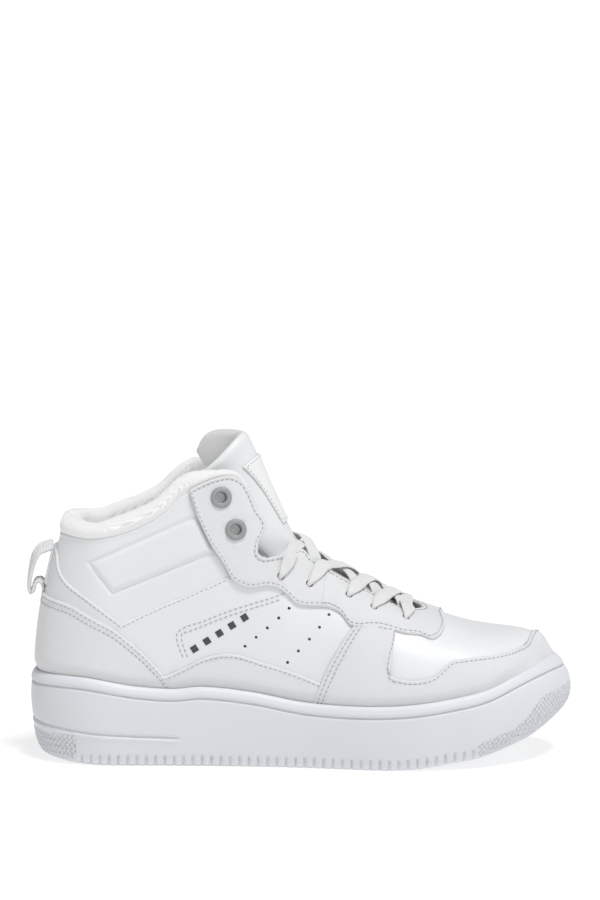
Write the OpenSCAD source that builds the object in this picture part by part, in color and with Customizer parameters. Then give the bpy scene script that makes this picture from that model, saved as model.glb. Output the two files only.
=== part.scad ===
// Leather basketball high top, right shoe.
// +X points at the toe, -Y at the outer (lateral) side, +Z up; the sole rests on Z = 0.

/* [Leather and padding] */
// Thickness of a leather panel
leather = 1.2; // [1:0.1:1.4]
// Gap kept between neighbouring layers
layer_gap = 0.25; // [0.2:0.05:0.3]
// Thickness of the collar padding at the ankle
collar_pad = 7; // [5:0.5:8]
// Thickness of the padded tongue
tongue_pad = 6.5; // [5:0.5:7]

/* [Sole] */
// Thickness of the outsole below the foam wedge
outsole_floor = 6; // [5:0.5:7]
// Depth of the pivot rings cut in the tread
tread_depth = 1.2; // [0.8:0.1:1.5]
// Thickness of the insole board
board_thick = 1.8; // [1.5:0.1:2]
// Thickness of the loose sockliner
sockliner_thick = 4; // [3:0.5:5]

/* [Laces and eyelets] */
// Width of the flat lace
lace_wide = 7.2; // [6:0.2:7.6]
// Thickness of the flat lace
lace_thick = 1.3; // [1:0.1:1.4]
// Diameter of a punched lace hole
lace_hole = 4; // [3.6:0.1:4.4]
// Outside diameter of a metal eyelet
eyelet_outer = 10.7; // [10:0.1:11.5]
// Bore of a metal eyelet
eyelet_bore = 5.4; // [5:0.1:6]

/* [Tongue and pull loop] */
// Half the width of the tongue between the collar flaps
tongue_half = 18; // [17:0.5:18.5]
// Width of the heel pull loop webbing
loop_wide = 10; // [8:0.5:12]

/* [Hidden] */
$fn = 40;

lateral = -1;
medial = 1;

// The upper is drawn on a surface with three numbers: the side, the station u and the angle a.
// u is x along the sides; past heel_x and toe_x it turns through a quarter circle to the tip.
// a is 0 at the lip of the sole and 90 on the ridge over the instep.
heel_x = -95;
heel_end = -150;
toe_x = 80;
toe_end = 145;
toe_y = 3;

// Distance from the centre line to the widest line of the sole
sole_lateral = [[-150, 42], [-131, 42.2], [-111, 38.9], [-95, 37.6], [-40, 39], [0, 43],
    [35, 49.6], [62, 53.1], [80, 50.6], [102, 47.6], [116, 49], [136, 54.3], [145, 57.8]];
sole_medial = [[-150, 42], [-131, 41.7], [-111, 38], [-95, 36.6], [-40, 36.5], [0, 39.5],
    [30, 45], [62, 48.9], [80, 46.8], [102, 48.6], [114, 51.7], [130, 57.6], [145, 57.8]];
// Height of the sole's lip
lip_line = [[-150, 44.5], [-111, 45.2], [-84, 41], [-64, 39.6], [-49, 40.8], [-25, 38.5],
    [3, 33.7], [35, 32.6], [62, 34.4], [89, 38.9], [115, 47], [130, 50], [145, 50.8]];
// Height of the ridge, which over the ankle is only the crown that the sides lean towards
ridge = [[-95, 220], [-60, 222], [-40, 190], [-30, 172], [-20, 152], [-10, 133], [0, 114],
    [13, 102], [24, 94], [36, 87], [52, 78], [62, 74.3], [72, 70.7], [90, 66.8], [110, 64],
    [130, 62.5]];
// Roundness of the section: 2 is an ellipse, more is squarer
roundness = [[-150, 2.2], [0, 2.2], [30, 2.3], [80, 2.6], [112, 3.3], [145, 4.1]];
// Height of the underside as the toe springs up
toe_spring = [[45, 0], [58, 0.8], [77, 3.2], [90, 5], [110, 9.5], [120, 12.9], [138, 22]];
// Height of the foot bed under the insole board
bed_line = [[-140, 24], [-60, 23.5], [-20, 19.5], [30, 15], [62, 15.5], [100, 21], [135, 31]];

heel_lean_in = 11;      // how far the heel leans in at the collar's height
heel_lean_height = 77;
tuck_in = 2.2;          // how far the upper tucks in behind the lip of the sole
below_lip = -9;         // angle a of the upper's bottom edge
throat_half = 17;       // half the gap between the eyestays
throat_end = 61;
collar_seam = [[-150, 115], [-128, 116], [-108, 115.3], [-98, 116.3], [-90, 118], [-77.5, 123],
    [-67, 129.5], [-60, 136.8], [-55, 140], [-42.7, 145.5], [-35.6, 146.4], [-31, 144.8],
    [-26.3, 139], [-22, 129], [-19.4, 123]];
collar_top = [[-150, 124.6], [-128, 124.4], [-105, 122.6], [-88, 127.4], [-73, 134.5],
    [-63.5, 143.4], [-57, 147.6], [-50, 149.2], [-38, 150.2], [-30, 148.5], [-25.5, 143],
    [-18, 130]];
counter_edge = [[-150, 84.5], [-119, 82], [-102.6, 74.8], [-94, 70.3], [-87.6, 65.4],
    [-79.8, 58.7], [-74, 52.8], [-69, 47], [-66, 41.6]];
strap_edge = [[-150, 109], [-133, 106], [-127, 98], [-120.5, 92.8], [-108, 85.7], [-98, 78.7],
    [-92, 75]];
quarter_edge = [[-92, 71], [-74, 79.8], [-54.6, 88], [-38, 95]];
overlay_edge = [[-67, 47], [-59.5, 50], [-50, 55], [-40, 57.7], [-32, 57.7], [-20.7, 54.3],
    [-6, 50], [9, 44.3]];
mudguard_edge = [[6, 34.5], [26, 69], [34, 69.8], [42, 69.5], [45.4, 68.8], [46, 48],
    [55.8, 46.2], [66.7, 48], [75.5, 54.3], [80, 55.1], [101, 56], [125, 58.3], [134, 60],
    [145, 61.5]];
stay_edge = [[14.8, 80.3], [20.3, 77.4], [24.9, 72.2], [30, 70.8], [42, 70.3], [52.3, 67.2],
    [60, 66.2], [66, 66.8]];
// Lace holes, then metal eyelets, as [u, height]
lace_holes = [[-10, 96.4], [4.3, 91.5], [24, 85], [36.5, 79], [52.7, 73]];
metal_eyelets = [[-39.8, 136], [-32.4, 120]];

// Layers, as distances outward from the surface
base_in = -1;
base_out = 0.5;
over_in = base_out + layer_gap + 0.1;
over_out = over_in + leather;
lining_out = base_in - 0.9;
lining_in = lining_out - 1;

function smooth(a, b, x) = let (t = max(0, min(1, (x - a) / (b - a)))) t * t * (3 - 2 * t);
function unit(v) = v / norm(v);

// A smooth curve through the points [x, y] of a table
function curve(t, x) =
    let (n = len(t) - 1)
    x <= t[0][0] ? t[0][1] : x >= t[n][0] ? t[n][1] :
    let (i = [for (k = [0:n - 1]) if (x < t[k + 1][0]) k][0],
         p = t[i], q = t[i + 1], o = t[max(0, i - 1)], r = t[min(n, i + 2)],
         h = q[0] - p[0], w = (x - p[0]) / h,
         m0 = h * (q[1] - o[1]) / (q[0] - o[0]), m1 = h * (r[1] - p[1]) / (r[0] - p[0]))
    p[1] + w * (m0 + w * (3 * (q[1] - p[1]) - 2 * m0 - m1 + w * (2 * (p[1] - q[1]) + m0 + m1)));

// The plan: where a station's ray starts, which way it points and how long it is
function turn(u) = u < heel_x ? 90 * (heel_x - u) / (heel_x - heel_end)
    : u > toe_x ? 90 * (u - toe_x) / (toe_end - toe_x) : 0;
function spine_y(x) = toe_y * smooth(30, toe_x, x);
function spine(u) = let (x = max(heel_x, min(toe_x, u))) [x, spine_y(x)];
function ray(s, u) = [sign(u) * sin(turn(u)), s * cos(turn(u))];
function plan(s, u, r) = spine(u) + r * ray(s, u);
function sole_r(s, u) = curve(s < 0 ? sole_lateral : sole_medial, u);
function inset(u) = 3.6 + 6.8 * smooth(90, 145, u);
function upper_r(s, u) = sole_r(s, u) - inset(u);

// The surface of the upper
function surf(s, u, a) =
    let (n = curve(roundness, u), z0 = curve(lip_line, u), r0 = upper_r(s, u),
         f = a <= 0 ? 1 : pow(cos(a), 2 / n), g = a <= 0 ? 0 : pow(sin(a), 2 / n),
         zr = curve(ridge, u < heel_x ? heel_x : plan(s, u, r0 * f)[0]),
         z = a <= 0 ? z0 + 0.4 * a : z0 + (zr - z0) * g,
         lean = u < heel_x ? heel_lean_in * pow(sin(turn(u)), 2) : 0,
         r = r0 * f - lean * pow(max(0, z - z0) / heel_lean_height, 1.6)
             - tuck_in * (1 - smooth(-1, 6 + 7 * smooth(90, 130, u), z - z0)),
         p = plan(s, u, r))
    [p[0], p[1], z];
function at_z(s, u, z) =
    let (z0 = curve(lip_line, u), n = curve(roundness, u),
         zr = curve(ridge, u < heel_x ? heel_x : plan(s, u, 0.9 * upper_r(s, u))[0]))
    z <= z0 ? (z - z0) / 0.4 : asin(pow(min(0.995, (z - z0) / (zr - z0)), n / 2));
function at_y(s, u, r) = acos(pow(r / upper_r(s, u), curve(roundness, u) / 2));
function normal(s, u, a) =
    let (b = min(a, 88.5), u0 = max(heel_end, u - 0.5), u1 = min(toe_end, u + 0.5))
    -s * unit(cross(surf(s, u1, b) - surf(s, u0, b), surf(s, u, b + 1) - surf(s, u, b - 1)));
function skin_point(s, u, a, d) = surf(s, u, min(a, 89.5)) + d * normal(s, u, a);

// The same surface over the forefoot, as a height over the plan
function height(x, y) =
    let (dx = max(0, x - toe_x), off = y - spine_y(min(x, toe_x)), s = off < 0 ? -1 : 1,
         u = dx > 0 ? toe_x + (toe_end - toe_x) * atan2(dx, abs(off)) / 90 : x,
         f = min(0.998, norm([dx, off]) / upper_r(s, u)), n = curve(roundness, u),
         z0 = curve(lip_line, u))
    z0 + (curve(ridge, x) - z0) * pow(1 - pow(f, n), 1 / n);
function top_point(x, y, d) =
    let (e = 0.4, n = unit([height(x - e, y) - height(x + e, y),
                            height(x, y - e) - height(x, y + e), 2 * e]))
    [x, y, height(x, y)] + d * n;

// A row across a panel, from [u, angle] to [u, angle]
function row(s, u1, a1, u2, a2) = [s, u1, a1, u2, a2];
function z_row(s, u1, z1, u2, z2) = row(s, u1, at_z(s, u1, z1), u2, at_z(s, u2, z2));
function backwards(v) = [for (i = [len(v) - 1:-1:0]) v[i]];
// Rows on one side, in the order that keeps the outside facing out
function side_rows(s, us, low, high) =
    [for (u = s < 0 ? us : backwards(us)) row(s, u, low(s, u), u, high(s, u))];
// Rows from the inner side round the heel to the outer side
function heel_rows(us, low, high) =
    concat(side_rows(medial, us, low, high),
           side_rows(lateral, [for (i = [1:len(us) - 1]) us[i]], low, high));
// Rows from the outer side round the toe to the inner side
function toe_rows(us, low, high) =
    concat(side_rows(lateral, us, low, high),
           side_rows(medial, [for (i = [0:len(us) - 2]) us[i]], low, high));
function grid(rows, m, d) = [for (r = rows) [for (j = [0:m]) let (w = j / m)
    skin_point(r[0], r[1] + w * (r[3] - r[1]), r[2] + w * (r[4] - r[2]), d)]];

// A closed sheet between two grids of points; outer faces along cross(row, column)
module skin(outer, inner, closed = false) {
    rows = len(outer);
    cols = len(outer[0]);
    last = closed ? rows - 1 : rows - 2;
    function o(i, j) = (i % rows) * cols + j;
    function n(i, j) = rows * cols + o(i, j);
    function quad(a, b, c, d) = [[a, b, c], [a, c, d]];
    faces = [
        for (i = [0:last], j = [0:cols - 2]) each
            concat(quad(o(i, j), o(i, j + 1), o(i + 1, j + 1), o(i + 1, j)),
                   quad(n(i, j), n(i + 1, j), n(i + 1, j + 1), n(i, j + 1))),
        for (i = [0:last]) each
            concat(quad(o(i, 0), o(i + 1, 0), n(i + 1, 0), n(i, 0)),
                   quad(o(i + 1, cols - 1), o(i, cols - 1), n(i, cols - 1), n(i + 1, cols - 1))),
        if (!closed) for (j = [0:cols - 2]) each
            concat(quad(o(0, j + 1), o(0, j), n(0, j), n(0, j + 1)),
                   quad(o(rows - 1, j), o(rows - 1, j + 1), n(rows - 1, j + 1), n(rows - 1, j)))];
    polyhedron(concat([for (r = outer) each r], [for (r = inner) each r]), faces);
}
module panel(rows, m, inner, outer) {
    skin(grid(rows, m, outer), grid(rows, m, inner));
}

// A solid between closed rings stacked upwards; lateral point i pairs with medial point n - i
module stack(rings) {
    n = len(rings[0]);
    k = len(rings) - 1;
    function at(r, i) = r * n + i % n;
    function rung(r, i) = at(r, n - i);
    sides = [for (r = [0:k - 1], i = [0:n - 1]) each
        [[at(r, i), at(r + 1, i), at(r + 1, i + 1)], [at(r, i), at(r + 1, i + 1), at(r, i + 1)]]];
    function ladder(r, up) = [for (i = [0:n / 2 - 1]) each
        let (a = at(r, i), b = at(r, i + 1), c = rung(r, i + 1), d = rung(r, i))
        [if (a != d && b != c) each up ? [[a, d, c], [a, c, b]] : [[a, c, d], [a, b, c]],
         if (a == d) up ? [a, c, b] : [a, b, c],
         if (b == c && a != d) up ? [a, d, b] : [a, b, d]]];
    polyhedron([for (r = rings) each r], concat(sides, ladder(0, false), ladder(k, true)));
}
// The stations of a ring, heel tip to toe tip by the outer side and back by the inner side
ring_us = [-150, -140, -131, -122, -111, -95, -80, -64, -49, -35, -18, 3, 20, 35, 48, 62, 72, 80,
    90, 102, 112, 122, 130, 138, 145];
ring_stations = concat([for (u = ring_us) [lateral, u]],
    [for (i = [len(ring_us) - 2:-1:1]) [medial, ring_us[i]]]);
// A ring at an offset and a height; both may depend on the station
function ring(off, z) = [for (t = ring_stations)
    let (p = plan(t[0], t[1], sole_r(t[0], t[1]) + off(t[1]))) [p[0], p[1], z(t[1], p[0])]];
function spring(x) = curve(toe_spring, x);
// How much a station belongs to the heel's tip or the toe's tip
function at_heel(u) = smooth(-90, -140, u);
function at_toe(u) = smooth(75, 135, u);
// Wall of the sole as [share of its height, offset at the side, at the heel, at the toe]
sole_wall = [[0, -5, -12.5, -13], [0.04, -3, -7.5, -8], [0.12, -2, -4.2, -3.4], [0.25, -1.2, -2.2, -0.6],
    [0.45, -0.4, -0.9, 0.2], [0.68, 0, 0, -0.8], [0.85, 0, -0.2, -3.4], [0.87, -0.9, -1.2, -4.5],
    [0.9, -0.2, -0.5, -4.4], [0.97, -0.7, -1, -6.2], [1, -1.7, -1.8, -7.4]];
function wall_ring(w) = ring(
    function(u) w[1] + at_heel(u) * (w[2] - w[1]) + at_toe(u) * (w[3] - w[1]),
    function(u, x) let (low = spring(x)) low + w[0] * (curve(lip_line, u) - low));
function inner_off(more) = function(u) -(inset(u) - 0.15 + more);
function bed(x) = curve(bed_line, x);

module cupsole() {
    color([0.93, 0.94, 0.95]) difference() {
        stack([for (w = sole_wall) wall_ring(w)]);
        stack([ring(inner_off(1.5), function(u, x) outsole_floor + spring(x)),
               ring(inner_off(0), function(u, x) outsole_floor + 3 + spring(x)),
               ring(inner_off(0), function(u, x) curve(lip_line, u) + 4)]);
        for (x = [-88, 62]) translate([x, 0, -1]) difference() {
            cylinder(r = 19, h = 1 + tread_depth);
            translate([0, 0, -1]) cylinder(r = 16, h = 4);
        }
    }
}
module midsole_wedge() {
    color([0.9, 0.9, 0.86]) stack([
        ring(inner_off(1.9), function(u, x) outsole_floor + 0.3 + spring(x)),
        ring(inner_off(0.4), function(u, x) outsole_floor + 3.3 + spring(x)),
        ring(inner_off(0.4), function(u, x) bed(x) - 0.2)]);
}
module insole_board() {
    color([0.75, 0.68, 0.55]) stack([
        ring(inner_off(0.6), function(u, x) bed(x)),
        ring(inner_off(0.6), function(u, x) bed(x) + board_thick)]);
}
module sockliner() {
    off = inner_off(tuck_in - lining_in + 0.4);
    color([0.93, 0.93, 0.92]) stack([
        ring(off, function(u, x) bed(x) + board_thick + layer_gap),
        ring(off, function(u, x) bed(x) + board_thick + layer_gap + sockliner_thick)]);
}

bottom = function(s, u) below_lip;
function edge(t, more = 0) = function(s, u) at_z(s, u, curve(t, u) + more);

module heel_stiffener() {
    us = [-150, -140, -130, -119, -108, -98, -90, -82, -76];
    color([0.8, 0.78, 0.72]) panel(heel_rows(us, bottom, edge(counter_edge, -5)), 8, base_in, base_out);
}
module heel_counter_cover() {
    us = [-150, -141, -133, -127, -120, -114, -108, -98, -90, -82, -76, -70, -66.5];
    color("white") panel(heel_rows(us, bottom, edge(counter_edge)), 8, over_in, over_out);
}
module heel_strap() {
    us = [-150, -141, -133, -127, -120, -114, -108, -98, -92.5];
    color("white") panel(heel_rows(us, edge(counter_edge, -4.5), edge(strap_edge)), 5, base_in, base_out);
}
module backstay() {
    us = [-150, -144, -141];
    low = function(s, u) at_z(s, u, 90);
    high = function(s, u) at_z(s, u, 104);
    color([0.97, 0.97, 0.97]) panel(heel_rows(us, low, high), 3, over_in, over_out);
}
module quarter(s) {
    low = function(s, u) max(below_lip, at_z(s, u, curve(counter_edge, u) - 4.5));
    high = function(s, u) at_z(s, u, u < -38 ? curve(quarter_edge, u) : min(95, 93.5 - 0.62 * (u + 16)));
    us = [-90, -84, -78, -72, -66, -60, -54, -46, -38, -30, -20, -10, 0, 8, 14, 20, 24];
    panel(side_rows(s, us, low, high), 8, base_in, base_out);
}
module lateral_quarter() { color([0.98, 0.98, 0.98]) quarter(lateral); }
module medial_quarter() { color([0.98, 0.98, 0.98]) quarter(medial); }
module lower_overlay(s) {
    us = [-64, -59.5, -54, -50, -45, -40, -32, -26, -20, -13, -6, 0, 5.5];
    panel(side_rows(s, us, bottom, edge(overlay_edge)), 6, over_in, over_out);
}
module lateral_lower_overlay() { color("white") lower_overlay(lateral); }
module medial_lower_overlay() { color("white") lower_overlay(medial); }
module collar_panel(s) {
    rows = [for (r = [
        [-149.5, 109.4, -149.5, 115], [-141, 108, -141, 115.4], [-133, 106.4, -133, 115.8],
        [-126.4, 98.4, -128, 116], [-120, 93, -120, 115.8], [-108, 86.2, -108, 115.3],
        [-98, 79.3, -98, 116.3], [-92, 75.4, -90, 118], [-84, 75.6, -84, 120],
        [-74, 80.2, -77.5, 123], [-66, 83.6, -72, 125.8], [-58, 87.2, -67, 129.5],
        [-50, 90.6, -63.5, 133], [-42, 94, -60, 136.8], [-39.5, 103.2, -57, 138.6]])
        z_row(s, r[0], r[1], r[2], r[3])];
    panel(s < 0 ? rows : backwards(rows), 6, base_in - 0.3, base_out - 0.5);
}
module lateral_collar_panel() { color([0.97, 0.97, 0.97]) collar_panel(lateral); }
module medial_collar_panel() { color([0.97, 0.97, 0.97]) collar_panel(medial); }

// Vamp, toe puff and their lining, in rows straight across the forefoot
vamp_share = function(u) 0.975 - 0.06 * smooth(56, 80, u);
function cross_rows(us, m, share, d) = [for (u = us)
    let (p = plan(lateral, u, share(u) * upper_r(lateral, u)),
         q = plan(medial, u, share(u) * upper_r(medial, u)))
    [for (j = [0:m]) let (c = p + (q - p) * (1 - cos(180 * j / m)) / 2) top_point(c[0], c[1], d)]];
module throat(half, from = -60) {
    translate([0, 0, 40]) linear_extrude(80) union() {
        translate([from, -half]) square([throat_end - half - from, 2 * half]);
        translate([throat_end - half, 0]) circle(r = half);
    }
}
forefoot_us = [40, 48, 56, 64, 72, 80, 90, 100, 110, 118, 126, 134];
module vamp() {
    color([0.98, 0.98, 0.98]) difference() {
        skin(cross_rows(forefoot_us, 14, vamp_share, base_out),
            cross_rows(forefoot_us, 14, vamp_share, base_in));
        throat(throat_half + 3);
    }
}
module toe_puff() {
    us = [100, 108, 116, 124, 132];
    share = function(u) 0.88;
    color([0.85, 0.82, 0.75])
        skin(cross_rows(us, 10, share, base_in - 0.3), cross_rows(us, 10, share, base_in - 1.1));
}
module vamp_lining() {
    us = [for (u = forefoot_us) if (u > throat_end + 2) u];
    share = function(u) 0.89;
    color([0.95, 0.95, 0.95])
        skin(cross_rows(us, 12, share, base_in - 1.4), cross_rows(us, 12, share, base_in - 2.2));
}
module mudguard() {
    us = [8, 14, 20, 26, 34, 42, 45.4, 45.7, 46, 50, 55.8, 62, 66.7, 71, 75.5, 80, 90, 101, 110,
        118, 125, 134, 140, 145];
    high = function(s, u) at_z(s, u, lookup(u, mudguard_edge));
    color("white") panel(toe_rows(us, bottom, high), 7, over_in, over_out);
}

// Metal eyelets and holes stand on the surface, with Z along its normal
module on_surface(s, u, z) {
    a = at_z(s, u, z);
    n = normal(s, u, a);
    translate(surf(s, u, a)) rotate([0, acos(n[2]), atan2(n[1], n[0])]) children();
}
module lace_cuts(s) {
    for (h = lace_holes) on_surface(s, h[0], h[1]) cylinder(d = lace_hole, h = 12, center = true);
}
module eyelet_cuts(s) {
    for (h = metal_eyelets) on_surface(s, h[0], h[1])
        cylinder(d = eyelet_bore + 2, h = 16, center = true);
}
module eyestay(s) {
    tip = -17.6;
    upper = [for (r = [
        [-55.3, 139.4, -54.8, 140], [-52, 128.5, -48, 143.4], [-50, 123.5, -42, 145.6],
        [-47.5, 118, -35.6, 146.4], [-45, 113, -30, 144], [-42.5, 109, -26, 138.6],
        [-39, 104, -21.8, 129], [-36.5, 99.5, tip, 121.5], [-34, 95.4, -20.8, 115],
        [-30.4, 92.4, -21.6, 108.6], [-25.5, 91, -18.5, 105.8], [-16.8, 92, -12, 106.4],
        [-11, 90.4, -6, 106.6]]) z_row(s, r[0], r[1], r[2], r[3])];
    lower = [for (r = [[-6.2, 86.6, 0], [-2, 82.6, 4], [3.5, 81.3, 8], [9, 80.9, 11.6], [14.5, 80.3, 14.5]])
        row(s, r[0], at_z(s, r[0], r[1]), r[2], at_y(s, r[2], throat_half + 1))];
    rows = concat(upper, lower);
    difference() {
        panel(s < 0 ? rows : backwards(rows), 6, over_in, over_out);
        lace_cuts(s);
        eyelet_cuts(s);
    }
}
module lateral_eyestay() { color("white") eyestay(lateral); }
module medial_eyestay() { color("white") eyestay(medial); }
// The front eyestay goes round the end of the throat; a row's half width follows its edge
module front_eyestay() {
    us = [15, 20.3, 25, 30, 36, 42, 48, 54, 60, 65, 69, 71.5, 72.6];
    function half(s, u) = u > 66 ? 26 * sqrt(max(0.02, 1 - pow((u - 66) / 7, 2)))
        : min(0.93 * upper_r(s, u), surf(s, u, at_z(s, u, curve(stay_edge, u)))[1] * s);
    function rows(d) = [for (u = us) let (p = -half(lateral, u), q = half(medial, u))
        [for (j = [0:12]) top_point(u, p + (q - p) * j / 12, d)]];
    color("white") difference() {
        skin(rows(over_out), rows(over_in));
        throat(throat_half);
        lace_cuts(lateral);
        lace_cuts(medial);
    }
}
module eyelets(s) {
    rim = eyelet_outer / 2;
    bore = eyelet_bore / 2;
    for (h = metal_eyelets) on_surface(s, h[0], h[1]) rotate_extrude()
        polygon([[bore, -4.6], [bore + 0.7, -4.6], [bore + 0.7, over_out + 0.3],
                 [rim, over_out + 0.3], [rim - 0.6, over_out + 1.2], [bore + 0.6, over_out + 1.5],
                 [bore, over_out + 1]]);
}
module washers(s) {
    for (h = metal_eyelets) on_surface(s, h[0], h[1]) translate([0, 0, -5.4]) difference() {
        cylinder(d = eyelet_outer - 0.7, h = 0.6);
        translate([0, 0, -1]) cylinder(d = eyelet_bore, h = 3);
    }
}
module lateral_eyelets() { color([0.6, 0.61, 0.63]) eyelets(lateral); }
module medial_eyelets() { color([0.6, 0.61, 0.63]) eyelets(medial); }
module lateral_eyelet_washers() { color([0.6, 0.61, 0.63]) washers(lateral); }
module medial_eyelet_washers() { color([0.6, 0.61, 0.63]) washers(medial); }

// Collar: padding and the mesh that rolls over it; the padding thins towards the flaps
flap_pad = 1.4;
collar_us = [-150, -141, -132, -124, -116, -108, -98, -90, -84, -77.5, -72, -67, -63.5, -60, -55,
    -48, -42, -36, -31, -27, -23, -19.5];
function pad(u) = flap_pad + (collar_pad - flap_pad) * (1 - smooth(-78, -52, u));
function collar_low(u) = u > -24 ? 110 : 94 - 8 * (1 - smooth(-80, -50, u));
// The mesh rolls over the top edge: points are [height, distance from the surface]
function roll(u, in) =
    let (seam = curve(collar_seam, u) + 0.3, top = curve(collar_top, u), t = 0.9 * in, p = pad(u) + 2)
    [[seam, -0.2 - t], [(seam + top) / 2, -0.3 - t], [top - 1.6, -0.9 - t], [top - t, -0.3 - p / 2],
     [top - 1.6, -p - 0.2 + t], [(seam + top) / 2 - 4, -p - 0.8 + t],
     [(seam + collar_low(u)) / 2, -p - 1 + t], [collar_low(u), -p - 1 + t]];
function foam_fill(u, in) =
    let (top = curve(collar_top, u), p = pad(u) + 2)
    [for (w = [0:0.2:1]) [collar_low(u) + 1 + w * (top - 2.7 - collar_low(u)),
        in == 0 ? -1.6 - (w > 0.9 ? 0.4 : 0) : -p + 1.1]];
function collar_grid(path, in) =
    [for (t = concat([for (u = backwards(collar_us)) [medial, u]],
                     [for (i = [1:len(collar_us) - 1]) [lateral, collar_us[i]]]))
        [for (q = path(t[1], in)) skin_point(t[0], t[1], at_z(t[0], t[1], q[0]), q[1])]];
module collar_foam() {
    fill = function(u, in) foam_fill(u, in);
    color([0.9, 0.88, 0.8]) difference() {
        skin(collar_grid(fill, 0), collar_grid(fill, 1));
        eyelet_cuts(lateral);
        eyelet_cuts(medial);
    }
}
module collar_lining() {
    path = function(u, in) roll(u, in);
    color([0.92, 0.92, 0.92]) difference() {
        skin(collar_grid(path, 0), collar_grid(path, 1));
        eyelet_cuts(lateral);
        eyelet_cuts(medial);
    }
}
// Lining of the whole upper below the collar, closed round the foot
function lining_top(s, u) = u < -50 ? at_z(s, u, 84) : u < -6 ? at_z(s, u, 84 + 0.42 * (u + 50))
    : u < throat_end - 5 ? at_y(s, u, throat_half + 1.5) : 26;
module upper_lining() {
    us = [-150, -140, -130, -120, -108, -95, -80, -64, -50, -36, -22, -10, 0, 12, 24, 36, 48, 55,
        62, 72, 80, 92, 104, 114, 124, 134, 145];
    low = function(s, u) at_z(s, u, bed(surf(s, u, 0)[0]) + board_thick + layer_gap);
    high = function(s, u) lining_top(s, u);
    toe_side = toe_rows(us, low, high);
    loop = [for (i = [0:len(toe_side) - 2]) toe_side[i]];
    color([0.9, 0.9, 0.9]) difference() {
        skin(grid(loop, 5, lining_out), grid(loop, 5, lining_in), true);
        lace_cuts(lateral);
        lace_cuts(medial);
    }
}

// Tongue: its front line in side view, from under the toe end of the throat to the top
tongue_line = [[66, 68.3], [54, 75.2], [36, 82.2], [20, 91.5], [5, 103.4], [-1, 109.8], [-5, 116.5],
    [-15.4, 139], [-21.7, 154.5], [-27.6, 167]];
tongue_cut = 0.66;      // share of the line where the tongue starts to lean
function line_at(t) =
    let (n = len(tongue_line) - 1, k = max(0, min(n - 1, floor(t * n))), w = t * n - k,
         o = tongue_line[max(0, k - 1)], p = tongue_line[k], q = tongue_line[k + 1],
         r = tongue_line[min(n, k + 2)], m0 = (q - o) / 2, m1 = (r - p) / 2)
    p + w * (m0 + w * (3 * (q - p) - 2 * m0 - m1 + w * (2 * (p - q) + m0 + m1)));
function line_normal(t) = let (e = 0.01, d = unit(line_at(t + e) - line_at(t - e))) [d[1], -d[0]];
// Half the width, and how deep the sides curve back
function half_wide(t) = tongue_half + 2.5 * (1 - smooth(0.5, 0.62, t)) + 3 * smooth(0.9, 1, t)
    + 2.5 * smooth(0.42, 0.52, t) * (1 - smooth(0.66, 0.8, t))
    - 5 * (1 - smooth(0, 0.15, t));
function side_depth(t) = 15 + 13 * smooth(0.5, 0.9, t);
// Point of the tongue: t along it, w from -1 to 1 across it, d outward
function tongue_point(t, w, d) =
    let (y = w * half_wide(t), back = side_depth(t) * (1 - sqrt(1 - 0.96 * w * w)) / 0.8,
         tt = t - (w < 0 ? 0.05 : 0.012) * smooth(0.7, 1, t) * pow(abs(w), 3),
         c = line_at(tt), n = line_normal(tt),
         slope = side_depth(t) * 0.96 * w / sqrt(1 - 0.96 * w * w) / 0.8 / half_wide(t),
         across = unit([1, slope]))
    [c[0] - n[0] * back, y, c[1] - n[1] * back]
        + d * [n[0] * across[0], across[1], n[1] * across[0]];
function tongue_grid(ts, m, d) =
    [for (t = ts) [for (j = [-m:m]) tongue_point(t, 0.97 * sin(90 * j / m), d)]];
top_ts = [for (i = [0:8]) tongue_cut + (0.995 - tongue_cut) * i / 8];
low_ts = [for (i = [0:9]) 0.01 + (tongue_cut - 0.02) * i / 9];
module tongue_sheet(ts, inner, outer) {
    skin(backwards(tongue_grid(ts, 6, outer)), backwards(tongue_grid(ts, 6, inner)));
}
module tongue_lower() { color([0.96, 0.96, 0.96]) tongue_sheet(low_ts, -3.2, 0); }
module tongue_top() { color("white") tongue_sheet(top_ts, -leather, 0); }
module tongue_foam() {
    color([0.9, 0.88, 0.8]) tongue_sheet(top_ts, -leather - 0.2 - tongue_pad / 2, -leather - 0.2);
}
module tongue_lining() {
    inner = -leather - 0.4 - tongue_pad / 2;
    color([0.7, 0.7, 0.71]) tongue_sheet(top_ts, inner - 0.9, inner);
}
module tongue_label() {
    ts = [0.72, 0.77, 0.82, 0.87];
    function g(d) = [for (t = backwards(ts)) [for (j = [-3:3]) tongue_point(t, j / 6, d)]];
    color([0.95, 0.95, 0.95]) skin(g(1.1), g(0.2));
}

// Lace: legs cross from a hole on one side to the next hole on the other side
lace_line = [[-8, 113.5], [0, 109.6], [6, 105.2], [13, 100.8], [20, 96.6], [31, 91], [36, 88.5],
    [46, 83.4], [52, 80.4], [60, 76.5]];    // height of the lowest lace over the middle
under = -4.8;
over = over_out + 0.7 + lace_thick / 2;
// Points of a path are [point, width, direction that the flat side faces]
function at_hole(s, k, d, wide) = let (h = lace_holes[k], a = at_z(s, h[0], h[1]))
    [skin_point(s, h[0], a, d), wide, normal(s, h[0], a)];
function at_edge(s, u, r, d, wide) = let (a = at_y(s, u, r)) [skin_point(s, u, a, d), wide, normal(s, u, a)];
function across_at(x, y, rise) = [[x, y, curve(lace_line, x) - 0.012 * y * y + rise], lace_wide,
    [0.45, y * 0.015, 1]];
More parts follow.
